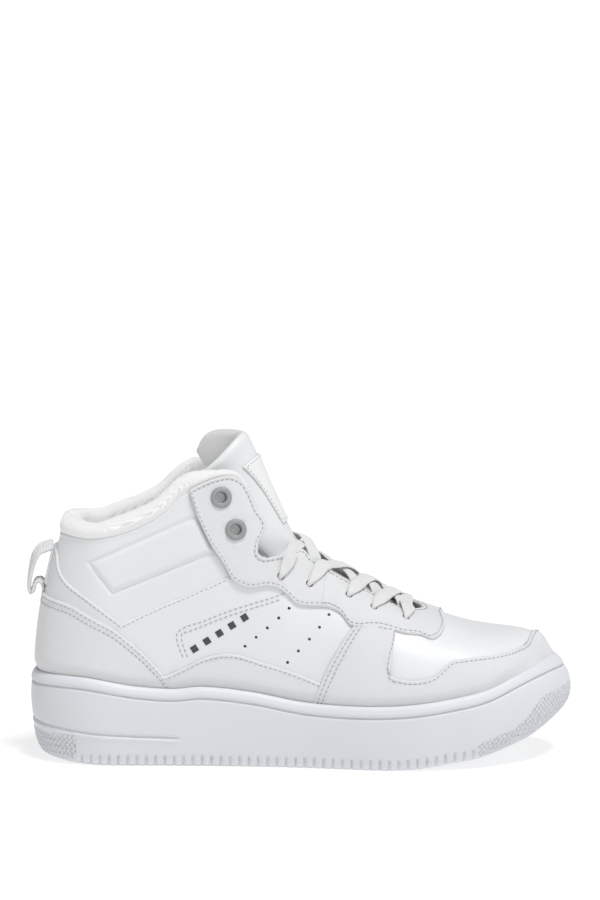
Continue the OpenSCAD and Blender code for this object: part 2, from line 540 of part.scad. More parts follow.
// A leg starts under hole k on side s and ends under hole k + 1 on the other side
function leg(s, k, rise) =
    let (u = lace_holes[k][0], run = (lace_holes[k + 1][0] - u) * (k == 3 ? 0.8 : 1),
         rim = k == 0 ? [skin_point(s, -6.5, at_z(s, -6.5, 105.5), over + 0.2), lace_wide, normal(s, -6.5, 50)]
             : at_edge(s, u + 0.3 * run, throat_half + 2, over, lace_wide))
    [at_hole(s, k, under + 1, 2.4), at_hole(s, k, over - 0.6, 2.4),
     [(at_hole(s, k, over + 0.5, 0)[0] + rim[0]) / 2, 5.8, at_hole(s, k, 0, 0)[2]], rim,
     across_at(u + 0.62 * run, 9 * s, 0.6 * rise), across_at(u + 0.92 * run, 0, rise),
     across_at(u + 1.17 * run, -9 * s, 0.4 * rise), at_edge(-s, u + 1.28 * run, 14.5, -1.2, lace_wide),
     at_edge(-s, u + 1.25 * run, 19, under + 0.4, 5.5), at_hole(-s, k + 1, under, 3)];
function bar() = [at_hole(lateral, 4, under + 1, 2.4), at_hole(lateral, 4, over - 0.6, 2.4),
    at_edge(lateral, 53.2, 20, over + 0.4, lace_wide), across_at(53.8, -9, 0.8), across_at(54, 0, 1),
    across_at(53.8, 9, 0.8), at_edge(medial, 53.2, 20, over + 0.4, lace_wide),
    at_hole(medial, 4, over - 0.6, 2.4), at_hole(medial, 4, under + 1, 2.4)];
function band_ring(path, i) =
    let (p = path[i][0], n = len(path) - 1, t = unit(path[min(n, i + 1)][0] - path[max(0, i - 1)][0]),
         side = unit(cross(t, path[i][2])), up = cross(side, t), w = path[i][1] / 2, h = lace_thick / 2)
    [p - w * side - h * up, p - w * side + h * up, p + w * side + h * up, p + w * side - h * up];
module band(path) {
    n = len(path) - 1;
    function at(i, j) = 4 * i + j % 4;
    polyhedron([for (i = [0:n]) each band_ring(path, i)],
        concat([[0, 1, 2], [0, 2, 3], [at(n, 2), at(n, 1), at(n, 0)], [at(n, 3), at(n, 2), at(n, 0)]],
               [for (i = [0:n - 1], j = [0:3]) each
                   [[at(i, j), at(i + 1, j), at(i + 1, j + 1)], [at(i, j), at(i + 1, j + 1), at(i, j + 1)]]]));
}
// The topmost medial leg stands up a little; below it the lateral legs lie on top
module shoelace() {
    color([0.99, 0.99, 0.99]) {
        for (k = [0:3]) {
            band(leg(lateral, k, k == 0 ? 0.4 : 2.2));
            band(leg(medial, k, k == 0 ? 3.6 : 0.3));
        }
        band(bar());
    }
}

// Heel pull loop: webbing folded into a loop, sewn down at both ends
loop_outside = [[-130.3, 109], [-132, 108.4], [-133.8, 106.6], [-136, 102.4], [-137.4, 97],
    [-138, 90.5], [-137.6, 86.3], [-135.8, 83.4], [-134.4, 83.6]];
loop_inside = [[-130.3, 103.4], [-131.3, 102.4], [-133.8, 97.3], [-135.5, 91.4], [-135.6, 88.4],
    [-135, 87.2]];
module across(width) {
    rotate([90, 0, 0]) translate([0, 0, -width / 2]) linear_extrude(width) children();
}
module pull_loop() {
    color("white") across(loop_wide) polygon(concat(loop_outside, backwards(loop_inside)));
}
module loop_anchor() {
    color("white") across(loop_wide) {
        polygon([[-128.6, 108.9], [-128.6, 104], [-127.6, 105.4], [-127, 108.6]]);
        polygon([[-132.4, 88], [-132.2, 84.4], [-131.6, 84.6], [-131.6, 87.8]]);
    }
}

cupsole();
midsole_wedge();
insole_board();
sockliner();
heel_stiffener();
toe_puff();
vamp();
mudguard();
lateral_quarter();
medial_quarter();
lateral_lower_overlay();
medial_lower_overlay();
lateral_collar_panel();
medial_collar_panel();
heel_counter_cover();
heel_strap();
backstay();
lateral_eyestay();
medial_eyestay();
front_eyestay();
collar_foam();
collar_lining();
upper_lining();
vamp_lining();
lateral_eyelets();
medial_eyelets();
lateral_eyelet_washers();
medial_eyelet_washers();
tongue_lower();
shoelace();
loop_anchor();
tongue_top();
tongue_foam();
tongue_lining();
tongue_label();
pull_loop();
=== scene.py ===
"""White leather basketball high top: the looks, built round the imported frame.

The upper is drawn on one smooth surface, with a side s (-1 outer, 1 inner), a station u along the
foot and an angle a from the lip of the sole (0) to the ridge over the instep (90). Panels, seams,
stitches and perforations are all places on that surface, in millimetres.
"""
import math

import bpy
import numpy as np
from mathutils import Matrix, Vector
from mathutils.kdtree import KDTree


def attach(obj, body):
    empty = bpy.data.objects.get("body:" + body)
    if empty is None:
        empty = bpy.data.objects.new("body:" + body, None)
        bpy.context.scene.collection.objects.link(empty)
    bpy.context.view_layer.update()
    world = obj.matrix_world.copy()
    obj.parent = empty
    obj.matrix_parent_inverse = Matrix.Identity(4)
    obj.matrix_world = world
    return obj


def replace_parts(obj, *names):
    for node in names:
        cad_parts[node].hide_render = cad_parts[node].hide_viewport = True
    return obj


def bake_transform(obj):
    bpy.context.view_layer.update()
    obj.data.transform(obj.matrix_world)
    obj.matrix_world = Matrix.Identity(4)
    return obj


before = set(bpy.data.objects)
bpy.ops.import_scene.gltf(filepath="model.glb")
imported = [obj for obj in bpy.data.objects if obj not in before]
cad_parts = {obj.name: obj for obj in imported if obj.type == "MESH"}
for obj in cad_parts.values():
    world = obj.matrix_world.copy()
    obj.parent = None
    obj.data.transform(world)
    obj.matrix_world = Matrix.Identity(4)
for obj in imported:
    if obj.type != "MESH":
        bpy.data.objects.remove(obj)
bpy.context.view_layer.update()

MM = 0.001

# ---------------------------------------------------------------- the surface of the upper
HEEL_X, HEEL_END, TOE_X, TOE_END, TOE_Y = -95, -150, 80, 145, 3
SOLE_LATERAL = [(-150, 42), (-131, 42.2), (-111, 38.9), (-95, 37.6), (-40, 39), (0, 43), (35, 49.6),
                (62, 53.1), (80, 50.6), (102, 47.6), (116, 49), (136, 54.3), (145, 57.8)]
SOLE_MEDIAL = [(-150, 42), (-131, 41.7), (-111, 38), (-95, 36.6), (-40, 36.5), (0, 39.5), (30, 45),
               (62, 48.9), (80, 46.8), (102, 48.6), (114, 51.7), (130, 57.6), (145, 57.8)]
LIP = [(-150, 44.5), (-111, 45.2), (-84, 41), (-64, 39.6), (-49, 40.8), (-25, 38.5), (3, 33.7),
       (35, 32.6), (62, 34.4), (89, 38.9), (115, 47), (130, 50), (145, 50.8)]
RIDGE = [(-95, 220), (-60, 222), (-40, 190), (-30, 172), (-20, 152), (-10, 133), (0, 114), (13, 102),
         (24, 94), (36, 87), (52, 78), (62, 74.3), (72, 70.7), (90, 65), (110, 63.1), (130, 62.5)]
ROUNDNESS = [(-150, 2.2), (0, 2.2), (30, 2.3), (80, 2.6), (112, 3.5), (130, 5.5), (145, 8)]
TOE_SPRING = [(45, 0), (58, 0.8), (77, 3.2), (90, 5), (110, 9.5), (120, 12.9), (138, 22)]
THROAT_HALF, THROAT_END = 17, 61
COLLAR_SEAM = [(-150, 115), (-128, 116), (-108, 115.3), (-98, 116.3), (-90, 118), (-77.5, 123),
               (-67, 129.5), (-60, 136.8), (-55, 140), (-42.7, 145.5), (-35.6, 146.4), (-31, 144.8),
               (-26.3, 139), (-22, 129), (-19.4, 123)]
COLLAR_TOP = [(-150, 124.6), (-128, 124.4), (-105, 122.6), (-88, 127.4), (-73, 134.5),
              (-63.5, 143.4), (-57, 147.6), (-50, 149.2), (-38, 150.2), (-30, 148.5),
              (-25.5, 143), (-18, 130)]
COUNTER_EDGE = [(-150, 84.5), (-119, 82), (-102.6, 74.8), (-94, 70.3), (-87.6, 65.4), (-79.8, 58.7),
                (-74, 52.8), (-69, 47), (-66, 41.6), (-64, 36)]
STRAP_EDGE = [(-150, 109), (-133, 106), (-127, 98), (-120.5, 92.8), (-108, 85.7), (-98, 78.7),
              (-89, 72)]
OVERLAY_EDGE = [(-70, 45.5), (-59.5, 50), (-50, 55), (-40, 57.7), (-32, 57.7), (-20.7, 54.3),
                (-6, 50), (14, 42.5)]
VAMP_SEAM = [(46.5, 47.6), (55.8, 46.2), (66.7, 48), (75.5, 54.3), (80, 55.1), (101, 56),
             (125, 58.3), (134, 60), (145, 61.5)]
STAY_EDGE = [(10, 80.8), (14.8, 80.3), (20.3, 77.4), (24.9, 72.2), (30, 70.8), (42, 70.3),
             (52.3, 67.2), (60, 66.2), (66, 66.8)]
LACE_HOLES = [(-10, 96.4), (4.3, 91.5), (24, 85), (36.5, 79), (52.7, 73)]
METAL_EYELETS = [(-39.8, 136), (-32.4, 120)]
BASE_IN, BASE_OUT, OVER_IN, OVER_OUT = -1, 0.5, 0.6, 2.05


def smooth(a, b, x):
    t = np.clip((x - a) / (b - a), 0, 1)
    return t * t * (3 - 2 * t)


def unit(v):
    return v / np.maximum(np.linalg.norm(v, axis=-1, keepdims=True), 1e-12)


def curve(table, x):
    """A smooth curve through the points of a table."""
    t = np.array(table, float)
    x = np.clip(np.asarray(x, float), t[0, 0], t[-1, 0])
    i = np.clip(np.searchsorted(t[:, 0], x, side="right") - 1, 0, len(t) - 2)
    o, p, q, r = t[np.maximum(i - 1, 0)], t[i], t[i + 1], t[np.minimum(i + 2, len(t) - 1)]
    h = q[..., 0] - p[..., 0]
    w = (x - p[..., 0]) / h
    m0 = h * (q[..., 1] - o[..., 1]) / (q[..., 0] - o[..., 0])
    m1 = h * (r[..., 1] - p[..., 1]) / (r[..., 0] - p[..., 0])
    rise = q[..., 1] - p[..., 1]
    return p[..., 1] + w * (m0 + w * (3 * rise - 2 * m0 - m1 + w * (m0 + m1 - 2 * rise)))


def curves(key, table, at):
    """Each column of a table as a smooth curve over one key."""
    return np.stack([curve(np.stack([key, c], -1), at) for c in np.asarray(table, float).T], -1)


def between(at, key, points):
    """Points on straight lines between listed ones."""
    return np.stack([np.interp(at, key, c) for c in points.T], -1)


def turn(u):
    back = 90 * (HEEL_X - u) / (HEEL_X - HEEL_END)
    front = 90 * (u - TOE_X) / (TOE_END - TOE_X)
    return np.radians(np.where(u < HEEL_X, back, np.where(u > TOE_X, front, 0)))


def spine_y(x):
    return TOE_Y * smooth(30, TOE_X, x)


def plan(s, u, r):
    """The point at distance r from the centre line, at station u on side s."""
    x = np.clip(u, HEEL_X, TOE_X)
    t = turn(u)
    return x + r * np.sign(u) * np.sin(t), spine_y(x) + r * s * np.cos(t)


def sole_r(s, u):
    return np.where(np.asarray(s) < 0, curve(SOLE_LATERAL, u), curve(SOLE_MEDIAL, u))


def inset(u):
    return 3.6 + 6.8 * smooth(90, 145, u)


def upper_r(s, u):
    return sole_r(s, u) - inset(u)


def toe_slope(u):
    """How far the toe leans back for each millimetre of height."""
    return 0.6 * smooth(100, 140, u)


def surf(s, u, a):
    s, u, a = np.broadcast_arrays(s, np.asarray(u, float), np.asarray(a, float))
    n, z0, r0 = curve(ROUNDNESS, u), curve(LIP, u), upper_r(s, u)
    t = np.radians(np.clip(a, 0, 90))
    f, g = np.cos(t) ** (2 / n), np.sin(t) ** (2 / n)
    zr = curve(RIDGE, np.where(u < HEEL_X, HEEL_X, plan(s, u, r0 * f)[0]))
    z = np.where(a <= 0, z0 + 0.4 * a, z0 + (zr - z0) * g)
    lean = np.where(u < HEEL_X, 11 * np.sin(turn(u)) ** 2, 0)
    tuck = 2.2 * (1 - smooth(-1, 6, z - z0)) * (1 - smooth(95, 130, u))
    up = np.maximum(0, z - z0)
    r = r0 * f - lean * (up / 77) ** 1.6 - tuck - toe_slope(u) * up
    x, y = plan(s, u, r)
    return np.stack([x, y, z], -1)


def at_z(s, u, z):
    s, u, z = np.broadcast_arrays(s, np.asarray(u, float), np.asarray(z, float))
    z0, n = curve(LIP, u), curve(ROUNDNESS, u)
    zr = curve(RIDGE, np.where(u < HEEL_X, HEEL_X, plan(s, u, 0.9 * upper_r(s, u))[0]))
    up = np.degrees(np.arcsin(np.clip((z - z0) / (zr - z0), 0, 0.995) ** (n / 2)))
    return np.where(z <= z0, (z - z0) / 0.4, up)


def at_y(s, u, r):
    return np.degrees(np.arccos((r / upper_r(s, u)) ** (curve(ROUNDNESS, u) / 2)))


def normal(s, u, a):
    b = np.clip(a, -30, 88.5)
    u0, u1 = np.maximum(HEEL_END, u - 0.5), np.minimum(TOE_END, u + 0.5)
    across = np.cross(surf(s, u1, b) - surf(s, u0, b), surf(s, u, b + 1) - surf(s, u, b - 1))
    return -np.asarray(s, float)[..., None] * unit(across)


def on_skin(s, u, a, d):
    s, u, a = np.broadcast_arrays(s, np.asarray(u, float), np.asarray(a, float))
    return surf(s, u, np.minimum(a, 89.5)) + np.asarray(d)[..., None] * normal(s, u, a)


def height(x, y):
    dx = np.maximum(0, x - TOE_X)
    off = y - spine_y(np.minimum(x, TOE_X))
    s = np.where(off < 0, -1, 1)
    u = np.where(dx > 0, TOE_X + (TOE_END - TOE_X) * np.degrees(np.arctan2(dx, abs(off))) / 90, x)
    n, z0, top = curve(ROUNDNESS, u), curve(LIP, u), curve(RIDGE, x)
    z = top
    for _ in range(8):       # the slope depends on the height, so it settles by halves
        f = np.minimum(0.998, (np.hypot(dx, off) + toe_slope(u) * (z - z0)) / upper_r(s, u))
        z = (z + z0 + (top - z0) * (1 - f ** n) ** (1 / n)) / 2
    return z


def on_top(x, y, d):
    e = 0.4
    n = unit(np.stack([height(x - e, y) - height(x + e, y), height(x, y - e) - height(x, y + e),
                       np.full_like(x, 2 * e)], -1))
    return np.stack([x, y, height(x, y)], -1) + np.asarray(d)[..., None] * n


# ---------------------------------------------------------------- meshes
def make(name, verts, faces, material, body="shoe"):
    mesh = bpy.data.meshes.new(name)
    mesh.from_pydata(np.asarray(verts, float) * MM, [], faces)
    mesh.polygons.foreach_set("use_smooth", [True] * len(mesh.polygons))
    mesh.update()
    obj = bpy.data.objects.new(name, mesh)
    bpy.context.scene.collection.objects.link(obj)
    mesh.materials.append(material)
    if body:
        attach(obj, body)
    return obj


def grid_faces(rows, cols, start=0, closed=False, flip=False):
    i = np.arange(rows if closed else rows - 1)[:, None]
    j = np.arange(cols - 1)[None]
    a, b = start + i * cols + j, start + (i + 1) % rows * cols + j
    quads = np.stack([a, b, b + 1, a + 1], -1).reshape(-1, 4)
    return quads[:, ::-1] if flip else quads


def skin(name, outer, inner, material, body="shoe"):
    """A closed sheet between two grids; outer faces along cross(row, column)."""
    rows, cols = outer.shape[:2]
    far = rows * cols
    faces = [grid_faces(rows, cols), grid_faces(rows, cols, far, flip=True)]
    i, j = np.arange(rows - 1) * cols, np.arange(cols - 1)
    for k, flip in ((0, False), (cols - 1, True)):
        wall = np.stack([i + k, far + i + k, far + i + cols + k, i + cols + k], -1)
        faces.append(wall[:, ::-1] if flip else wall)
    for k, flip in ((0, True), (far - cols, False)):
        wall = np.stack([k + j, far + k + j, far + k + j + 1, k + j + 1], -1)
        faces.append(wall[:, ::-1] if flip else wall)
    verts = np.concatenate([outer.reshape(-1, 3), inner.reshape(-1, 3)])
    return make(name, verts, np.concatenate(faces).tolist(), material, body)


def spread(length, step=0.9, fine=(0.25, 0.55, 0.95)):
    """Shares of a length, closer together at both ends where an edge rounds over."""
    start = [0, *fine]
    count = max(3, int((length - 2 * fine[-1]) / step))
    middle = np.linspace(fine[-1], length - fine[-1], count + 1)[1:-1]
    return np.array([*start, *middle, *(length - np.array(start[::-1]))]) / length


def arc(points):
    return np.concatenate([[0], np.cumsum(np.linalg.norm(np.diff(points, axis=0), axis=1))])


def along(table, shares):
    """A smooth curve through listed points, at shares of its length."""
    t = arc(np.asarray(table, float))
    return curves(t / t[-1] + np.arange(len(t)) * 1e-9, table, shares)


def nearest(points, others):
    tree = KDTree(len(others))
    for i, p in enumerate(others):
        tree.insert(p, i)
    tree.balance()
    return np.array([tree.find(p)[2] for p in points])


STITCHES = {}


def stitch_row(points, outs, body="shoe", pitch=2.5, size=1.9):
    """Remembers threads along a line of points; they are made together at the end."""
    t = arc(points)
    count = int(t[-1] / pitch)
    at = (np.arange(count) + 0.5) * t[-1] / count
    ahead = unit(between(at + 0.3, t, points) - between(at - 0.3, t, points))
    for p, n, d in zip(between(at, t, points), unit(between(at, t, outs)), ahead):
        STITCHES.setdefault(body, []).append((p, n, d, size))


def make_stitches(material):
    """Each thread is a small capsule that lies a little sunk along its row."""
    rings = [(-1, 0), (-0.8, 0.7), (-0.3, 1), (0.3, 1), (0.8, 0.7), (1, 0)]
    for body, rows in STITCHES.items():
        verts, faces = [], []
        for p, n, d, size in rows:
            side = np.cross(n, d)
            base = len(verts)
            for t, r in rings:
                for k in range(6):
                    c, s = math.cos(k * math.pi / 3), math.sin(k * math.pi / 3)
                    verts.append(p + d * t * size / 2 + 0.3 * r * (c * side + s * n))
            for i in range(len(rings) - 1):
                for k in range(6):
                    a, b = base + 6 * i + k, base + 6 * i + (k + 1) % 6
                    faces.append((a, b, b + 6, a + 6))
        make("stitching_" + body, verts, faces, material, body)


def panel_grid(s, rows):
    """Grids of side, station and angle between two edges on one side of the shoe. Each row lists
    a station and height on the low edge and on the high edge."""
    rows = np.asarray(rows, float)
    low, high = rows[:, :2], rows[:, 2:]
    ends = [surf(s, e[:, 0], at_z(s, e[:, 0], e[:, 1])) for e in (low, high)]
    i = spread(max(arc(ends[0])[-1], arc(ends[1])[-1]))
    w = spread(max(np.linalg.norm(ends[0] - ends[1], axis=1).max(), 4))[None]
    # rows keep their listed pairing, spaced by the mean length of the two edges
    mean = arc((ends[0] + ends[1]) / 2)
    key = mean / mean[-1]
    low, high = curves(key, low, i), curves(key, high, i)
    if s > 0:
        low, high = low[::-1], high[::-1]
    a0, a1 = at_z(s, low[:, 0], low[:, 1]), at_z(s, high[:, 0], high[:, 1])
    u = low[:, :1] + w * (high[:, :1] - low[:, :1])
    return np.full(u.shape, s), u, a0[:, None] + w * (a1 - a0)[:, None]


RIM_ROUND, RIM_SWELL, SEAM_DEPTH, SEAM_WIDE, THREAD_SUNK = 0.9, 0.3, 0.28, 0.75, 0.12


def rim_fall(away, thick):
    """How far leather falls near a cut edge."""
    return 0.75 * thick * (1 - np.sqrt(1 - np.clip(1 - away / RIM_ROUND, 0, 1) ** 2))


def seam_dip(away):
    return SEAM_DEPTH * np.exp(-(away / SEAM_WIDE) ** 2)


def from_edge(grid, edge):
    """A panel's grid with its lines running inward from one edge: low, high, start or end."""
    grid = grid if edge in ("low", "high") else grid.swapaxes(0, 1)
    return grid[:, ::-1] if edge in ("high", "end") else grid


def finish_panel(name, s, u, a, material, bottom, top, rims=("low", "high", "start", "end"),
                 seams=(), bulge=None):
    """Rounds the rims, presses the seams in and sews them. s, u and a are grids. A seam is an edge
    and the distance from it, and may end with the shares of the edge where it starts and stops."""
    flat = on_skin(s, u, a, np.full(u.shape, float(top)))
    d = np.full(u.shape, float(top))
    rim = np.concatenate([from_edge(flat, e)[:, 0] for e in rims])
    away = nearest(flat.reshape(-1, 3), rim).reshape(u.shape)
    d -= rim_fall(away, top - bottom)
    d += RIM_SWELL * np.exp(-((away - 1.1) / 0.6) ** 2)
    if bulge is not None:
        d += bulge(flat)
    outs = normal(s, u, a)
    lines = []
    for edge, off, *span in seams:
        run, turned = from_edge(flat, edge), from_edge(outs, edge)
        first, last = span if span else (0, 1)
        count = len(run)
        picked = range(int(first * (count - 1)), int(last * (count - 1)) + 1)
        line, out = [], []
        for k in picked:
            t = arc(run[k])
            if t[-1] < off * 1.6:
                continue
            line.append(between(off, t, run[k]))
            out.append(between(off, t, turned[k]))
        if len(line) > 3:
            lines.append((np.array(line), np.array(out)))
    if lines:
        dense = np.concatenate([between(np.arange(0, arc(p)[-1], 0.4), arc(p), p) for p, _ in lines])
        d -= seam_dip(nearest(flat.reshape(-1, 3), dense).reshape(u.shape))
    for p, out in lines:
        stitch_row(p - THREAD_SUNK * unit(out), out)
    outer = surf(s, u, np.minimum(a, 89.5)) + d[..., None] * outs
    inner = on_skin(s, u, a, np.full(u.shape, float(bottom)))
    return skin(name, outer, inner, material)


def wrap(us, low, high, where, wide):
    """Grids for a panel that wraps round the heel or the toe, or lies on one side.
    low and high give heights; where is 'heel', 'toe', -1 or 1."""
    if where == "heel":
        stations = [(1, u) for u in us[::-1]] + [(-1, u) for u in us[1:]]
    elif where == "toe":
        stations = [(-1, u) for u in us] + [(1, u) for u in us[-2::-1]]
    else:
        stations = [(where, u) for u in (us if where < 0 else us[::-1])]
    s = np.array([p[0] for p in stations])
    u = np.array([p[1] for p in stations], float)
    a0, a1 = low(s, u), high(s, u)
    w = spread(wide)[None]
    grid_u = u[:, None] + 0 * w
    return s[:, None] + 0 * w, grid_u, a0[:, None] + w * (a1 - a0)[:, None]


def height_of(table, more=0):
    return lambda s, u: at_z(s, u, curve(table, u) + more)


def at_bottom(s, u):
    return np.full(len(u), -9.0)


def material(name, colour, rough, grain=None, strength=0.2, metal=0, sheen=0, hole_shade=0, glow=0, slot=None):
    """A principled surface. grain is (kind, size in mm) and makes bump; a knit's holes get painted shade,
    a darkening at the middle of each cell; glow stands for light that comes through a thin cloth."""
    mat = bpy.data.materials.new(name)
    mat.use_nodes = True
    nodes, links = mat.node_tree.nodes, mat.node_tree.links
    shader = nodes["Principled BSDF"]
    shader.inputs["Base Color"].default_value = (*colour, 1)
    shader.inputs["Roughness"].default_value = rough
    shader.inputs["Metallic"].default_value = metal
    shader.inputs["Sheen Weight"].default_value = sheen
    shader.inputs["Emission Color"].default_value = (1, 1, 1, 1)
    shader.inputs["Emission Strength"].default_value = glow
    if grain:
        kind, size = grain
        place_at = nodes.new("ShaderNodeTexCoord")
        scaled = nodes.new("ShaderNodeMapping")
        scaled.inputs["Scale"].default_value = [1 / (size * MM)] * 3
        texture = nodes.new("ShaderNodeTexNoise" if kind == "noise" else "ShaderNodeTexVoronoi")
        bump = nodes.new("ShaderNodeBump")
        bump.inputs["Strength"].default_value = strength
        bump.inputs["Distance"].default_value = 0.4 * MM
        if kind == "knit":
            texture.inputs["Randomness"].default_value = 0.15
        out = "Fac" if kind == "noise" else "Distance"
        links.new(place_at.outputs["Object"], scaled.inputs["Vector"])
        links.new(scaled.outputs["Vector"], texture.inputs["Vector"])
        links.new(texture.outputs[out], bump.inputs["Height"])
        links.new(bump.outputs["Normal"], shader.inputs["Normal"])
        bump.invert = kind == "pebble"
        if hole_shade:
            # painted shade: the middle of each cell is darkened where the knit's holes are
            ramp = nodes.new("ShaderNodeMapRange")
            ramp.inputs["From Min"].default_value, ramp.inputs["From Max"].default_value = 0.28, 0.52
            mix = nodes.new("ShaderNodeMix")
            mix.data_type = "RGBA"
            mix.inputs["A"].default_value = (*(c * (1 - hole_shade) for c in colour), 1)
            mix.inputs["B"].default_value = (*colour, 1)
            links.new(texture.outputs[out], ramp.inputs["Value"])
            links.new(ramp.outputs["Result"], mix.inputs["Factor"])
            links.new(mix.outputs["Result"], shader.inputs["Base Color"])
    return mat


SMOOTH_LEATHER = material("smooth_leather", (0.735, 0.745, 0.757), 0.42, ("noise", 1.3), 0.15)
PEBBLED = material("pebbled_leather", (0.81, 0.817, 0.828), 0.45, ("pebble", 1.2), 0.7)
LABEL_LEATHER = material("label_leather", (0.78, 0.785, 0.79), 0.5, ("noise", 0.8), 0.1)
RUBBER = material("sole_rubber", (0.655, 0.672, 0.702), 0.5, ("noise", 0.6), 0.05)
MESH = material("collar_mesh", (0.93, 0.933, 0.937), 0.85, ("knit", 1.3), 0.9, sheen=0.2, hole_shade=0.5, glow=0.2)
GREY_MESH = material("tongue_mesh", (0.76, 0.765, 0.77), 0.9, ("knit", 1.3), 0.9, sheen=0.2, hole_shade=0.5,
                     glow=0.16)
CLOTH = material("lining_cloth", (0.8, 0.8, 0.8), 0.9, ("noise", 0.5), 0.3)
LACE = material("lace_cotton", (0.86, 0.865, 0.865), 0.8, ("knit", 0.8), 0.7, sheen=0.2)
WEBBING = material("webbing", (0.82, 0.825, 0.83), 0.75, ("knit", 0.8), 0.6, sheen=0.2)
METAL = material("eyelet_metal", (0.30, 0.31, 0.32), 0.5, metal=0.15)
# painted shade: the thread is coloured mid grey for the shade it lies in along the sunk stitch rows; its own
# tone is lighter
SHADED_THREAD = material("thread", (0.42, 0.43, 0.45), 0.7, slot="smooth_leather")
INK = material("badge_grey", (0.05, 0.052, 0.06), 0.5, slot="label_leather")

# ---------------------------------------------------------------- sole
SOLE_WALL = [(0, -5, -12.5, -13), (0.04, -3, -7.5, -8), (0.12, -2, -4.2, -3.4), (0.25, -1.2, -2.2, -0.6),
             (0.45, -0.4, -0.9, 0.2), (0.68, 0, 0, -0.8), (0.85, -0.1, -0.3, -3.4),
             (0.93, -0.4, -0.6, -5), (0.97, -0.9, -1.1, -6.2), (1, -2.2, -2.3, -7.8)]
PATCH_TOP = [(88, 13), (100, 17), (107, 19), (111.5, 22), (115.5, 26), (119, 30), (123.5, 34), (138, 37.5)]
HEEL_GROOVE = [(-138, 20.5), (-100, 16.5), (-60, 14.8)]
TOOTH, DIAMOND = 4.7, 2.9
STATIONS = 560           # round each half of the sole


def spring(x):
    return curve(TOE_SPRING, x)


def cupsole():
    fine = np.linspace(HEEL_END, TOE_END, 6000)
    x, y = plan(-1, fine, sole_r(-1, fine))
    t = arc(np.stack([x, y], -1))
    u = np.interp(np.linspace(0, t[-1], STATIONS), t, fine)
    s = np.concatenate([np.full(len(u), -1), np.full(len(u) - 2, 1)])
    u = np.concatenate([u, u[-2:0:-1]])
    x, y = plan(s, u, sole_r(s, u))
    length = arc(np.stack([x, y], -1))
    lip = curve(LIP, u)
    drop = np.concatenate([np.arange(0, 8, 0.4), 8 + np.cumsum(np.linspace(0.45, 0.62, 56))])
    drop = drop / drop[-1]
    w = 1 - drop[::-1]
    heel, toe = smooth(-90, -140, u)[:, None], smooth(75, 135, u)[:, None]
    walls = [curve([(row[0], row[k]) for row in SOLE_WALL], w)[None] for k in (1, 2, 3)]
    off = walls[0] + heel * (walls[1] - walls[0]) + toe * (walls[2] - walls[0])
    s2, u2 = s[:, None] + 0 * w[None], u[:, None] + 0 * w[None]
    px, _ = plan(s2, u2, sole_r(s2, u2) + off)
    low = spring(px)
    z = low + w[None] * (lip[:, None] - low)
    dip = lip[:, None] - z
    off -= 1.3 * np.exp(-((dip - 5.6) / 0.5) ** 2) - 0.35 * np.exp(-((dip - 3.4) / 1.4) ** 2)
    groove_z = curve(HEEL_GROOVE, px)
    off -= 1.2 * np.exp(-((z - groove_z) / 0.7) ** 2) * (1 - smooth(-63, -60, px))
    off += 0.35 * np.exp(-((z - groove_z + 1.6) / 0.9) ** 2) * (1 - smooth(-63, -60, px))
    # teeth along the bottom edge
    toothed = smooth(-114, -112, px) * (1 - smooth(88, 90, px))
    phase = np.abs((px / TOOTH) % 1 - 0.5) * TOOTH
    rise = z - low
    off -= 1.7 * toothed * np.exp(-(phase / 0.55) ** 2) * (1 - smooth(5.2, 6.4, rise))
    # diamond patches at the toe and the heel
    top = curve(PATCH_TOP, px)
    toe_patch = smooth(89, 90, px) * (1 - smooth(top - 0.8, top, z)) * smooth(0.2, 1.2, rise)
    heel_patch = (1 - smooth(-113.5, -112.5, px)) * (1 - smooth(15.2, 16, z)) * smooth(2.2, 3.2, z)
    run = length[:, None] + 0 * w[None]
    p = np.abs(((run + z) / DIAMOND) % 1 - 0.5) * 2
    q = np.abs(((run - z) / DIAMOND) % 1 - 0.5) * 2
    off += (toe_patch + heel_patch) * (np.clip(2.4 * np.minimum(p, q), 0, 1) - 0.75)
    x, y = plan(s2, u2, sole_r(s2, u2) + off)
    wall = np.stack([x, y, z], -1)
    # over the lip and down inside the cup
    rim = []
    for back, down in ((0.5, -0.25), (1.2, 0), (1.8, 0.8), (2.1, 2.5), (2.1, 9)):
        x, y = plan(s, u, sole_r(s, u) + off[:, -1] - back * 0.9)
        rim.append(np.stack([x, y, lip - down], -1))
    wall = np.concatenate([wall, np.stack(rim, 1)], 1)
    # underside: rungs from the outer side to the inner side, with pivot rings and bars
    across = (1 - np.cos(np.linspace(0, np.pi, 90))) / 2
    left, last = wall[:STATIONS, 0], STATIONS - 1
    right = np.concatenate([wall[:1, 0], wall[:last:-1, 0], wall[last:STATIONS, 0]])
    under = left[:, None] + across[None, :, None] * (right - left)[:, None]
    ux, uy = under[..., 0], under[..., 1]
    ring = np.zeros(ux.shape)
    for cx in (-88, 62):
        r = np.hypot(ux - cx, uy)
        ring += np.exp(-((r % 6.0 - 3) / 0.9) ** 2) * (1 - smooth(23, 24, r))
    bars = np.exp(-(((ux + 0.5 * np.abs(uy)) % 7 - 3.5) / 0.8) ** 2)
    far = np.minimum(np.hypot(ux + 88, uy), np.hypot(ux - 62, uy))
    edge = np.minimum(across, 1 - across)[None] * np.linalg.norm(right - left, axis=1)[:, None]
    under[..., 2] = spring(ux) + 1.1 * (ring + bars * smooth(26, 27, far)) * smooth(4, 6, edge)
    for name, grid, closed in (("cupsole_wall", wall, True), ("cupsole_tread", under[:, ::-1], False)):
        faces = grid_faces(*grid.shape[:2], 0, closed)
        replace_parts(make(name, grid.reshape(-1, 3), faces.tolist(), RUBBER), "cupsole")


# ---------------------------------------------------------------- leather panels
def u_list(first, last, step=0.9):
    """Stations between two marks, closer together at both ends."""
    return first + spread(last - first, step) * (last - first)


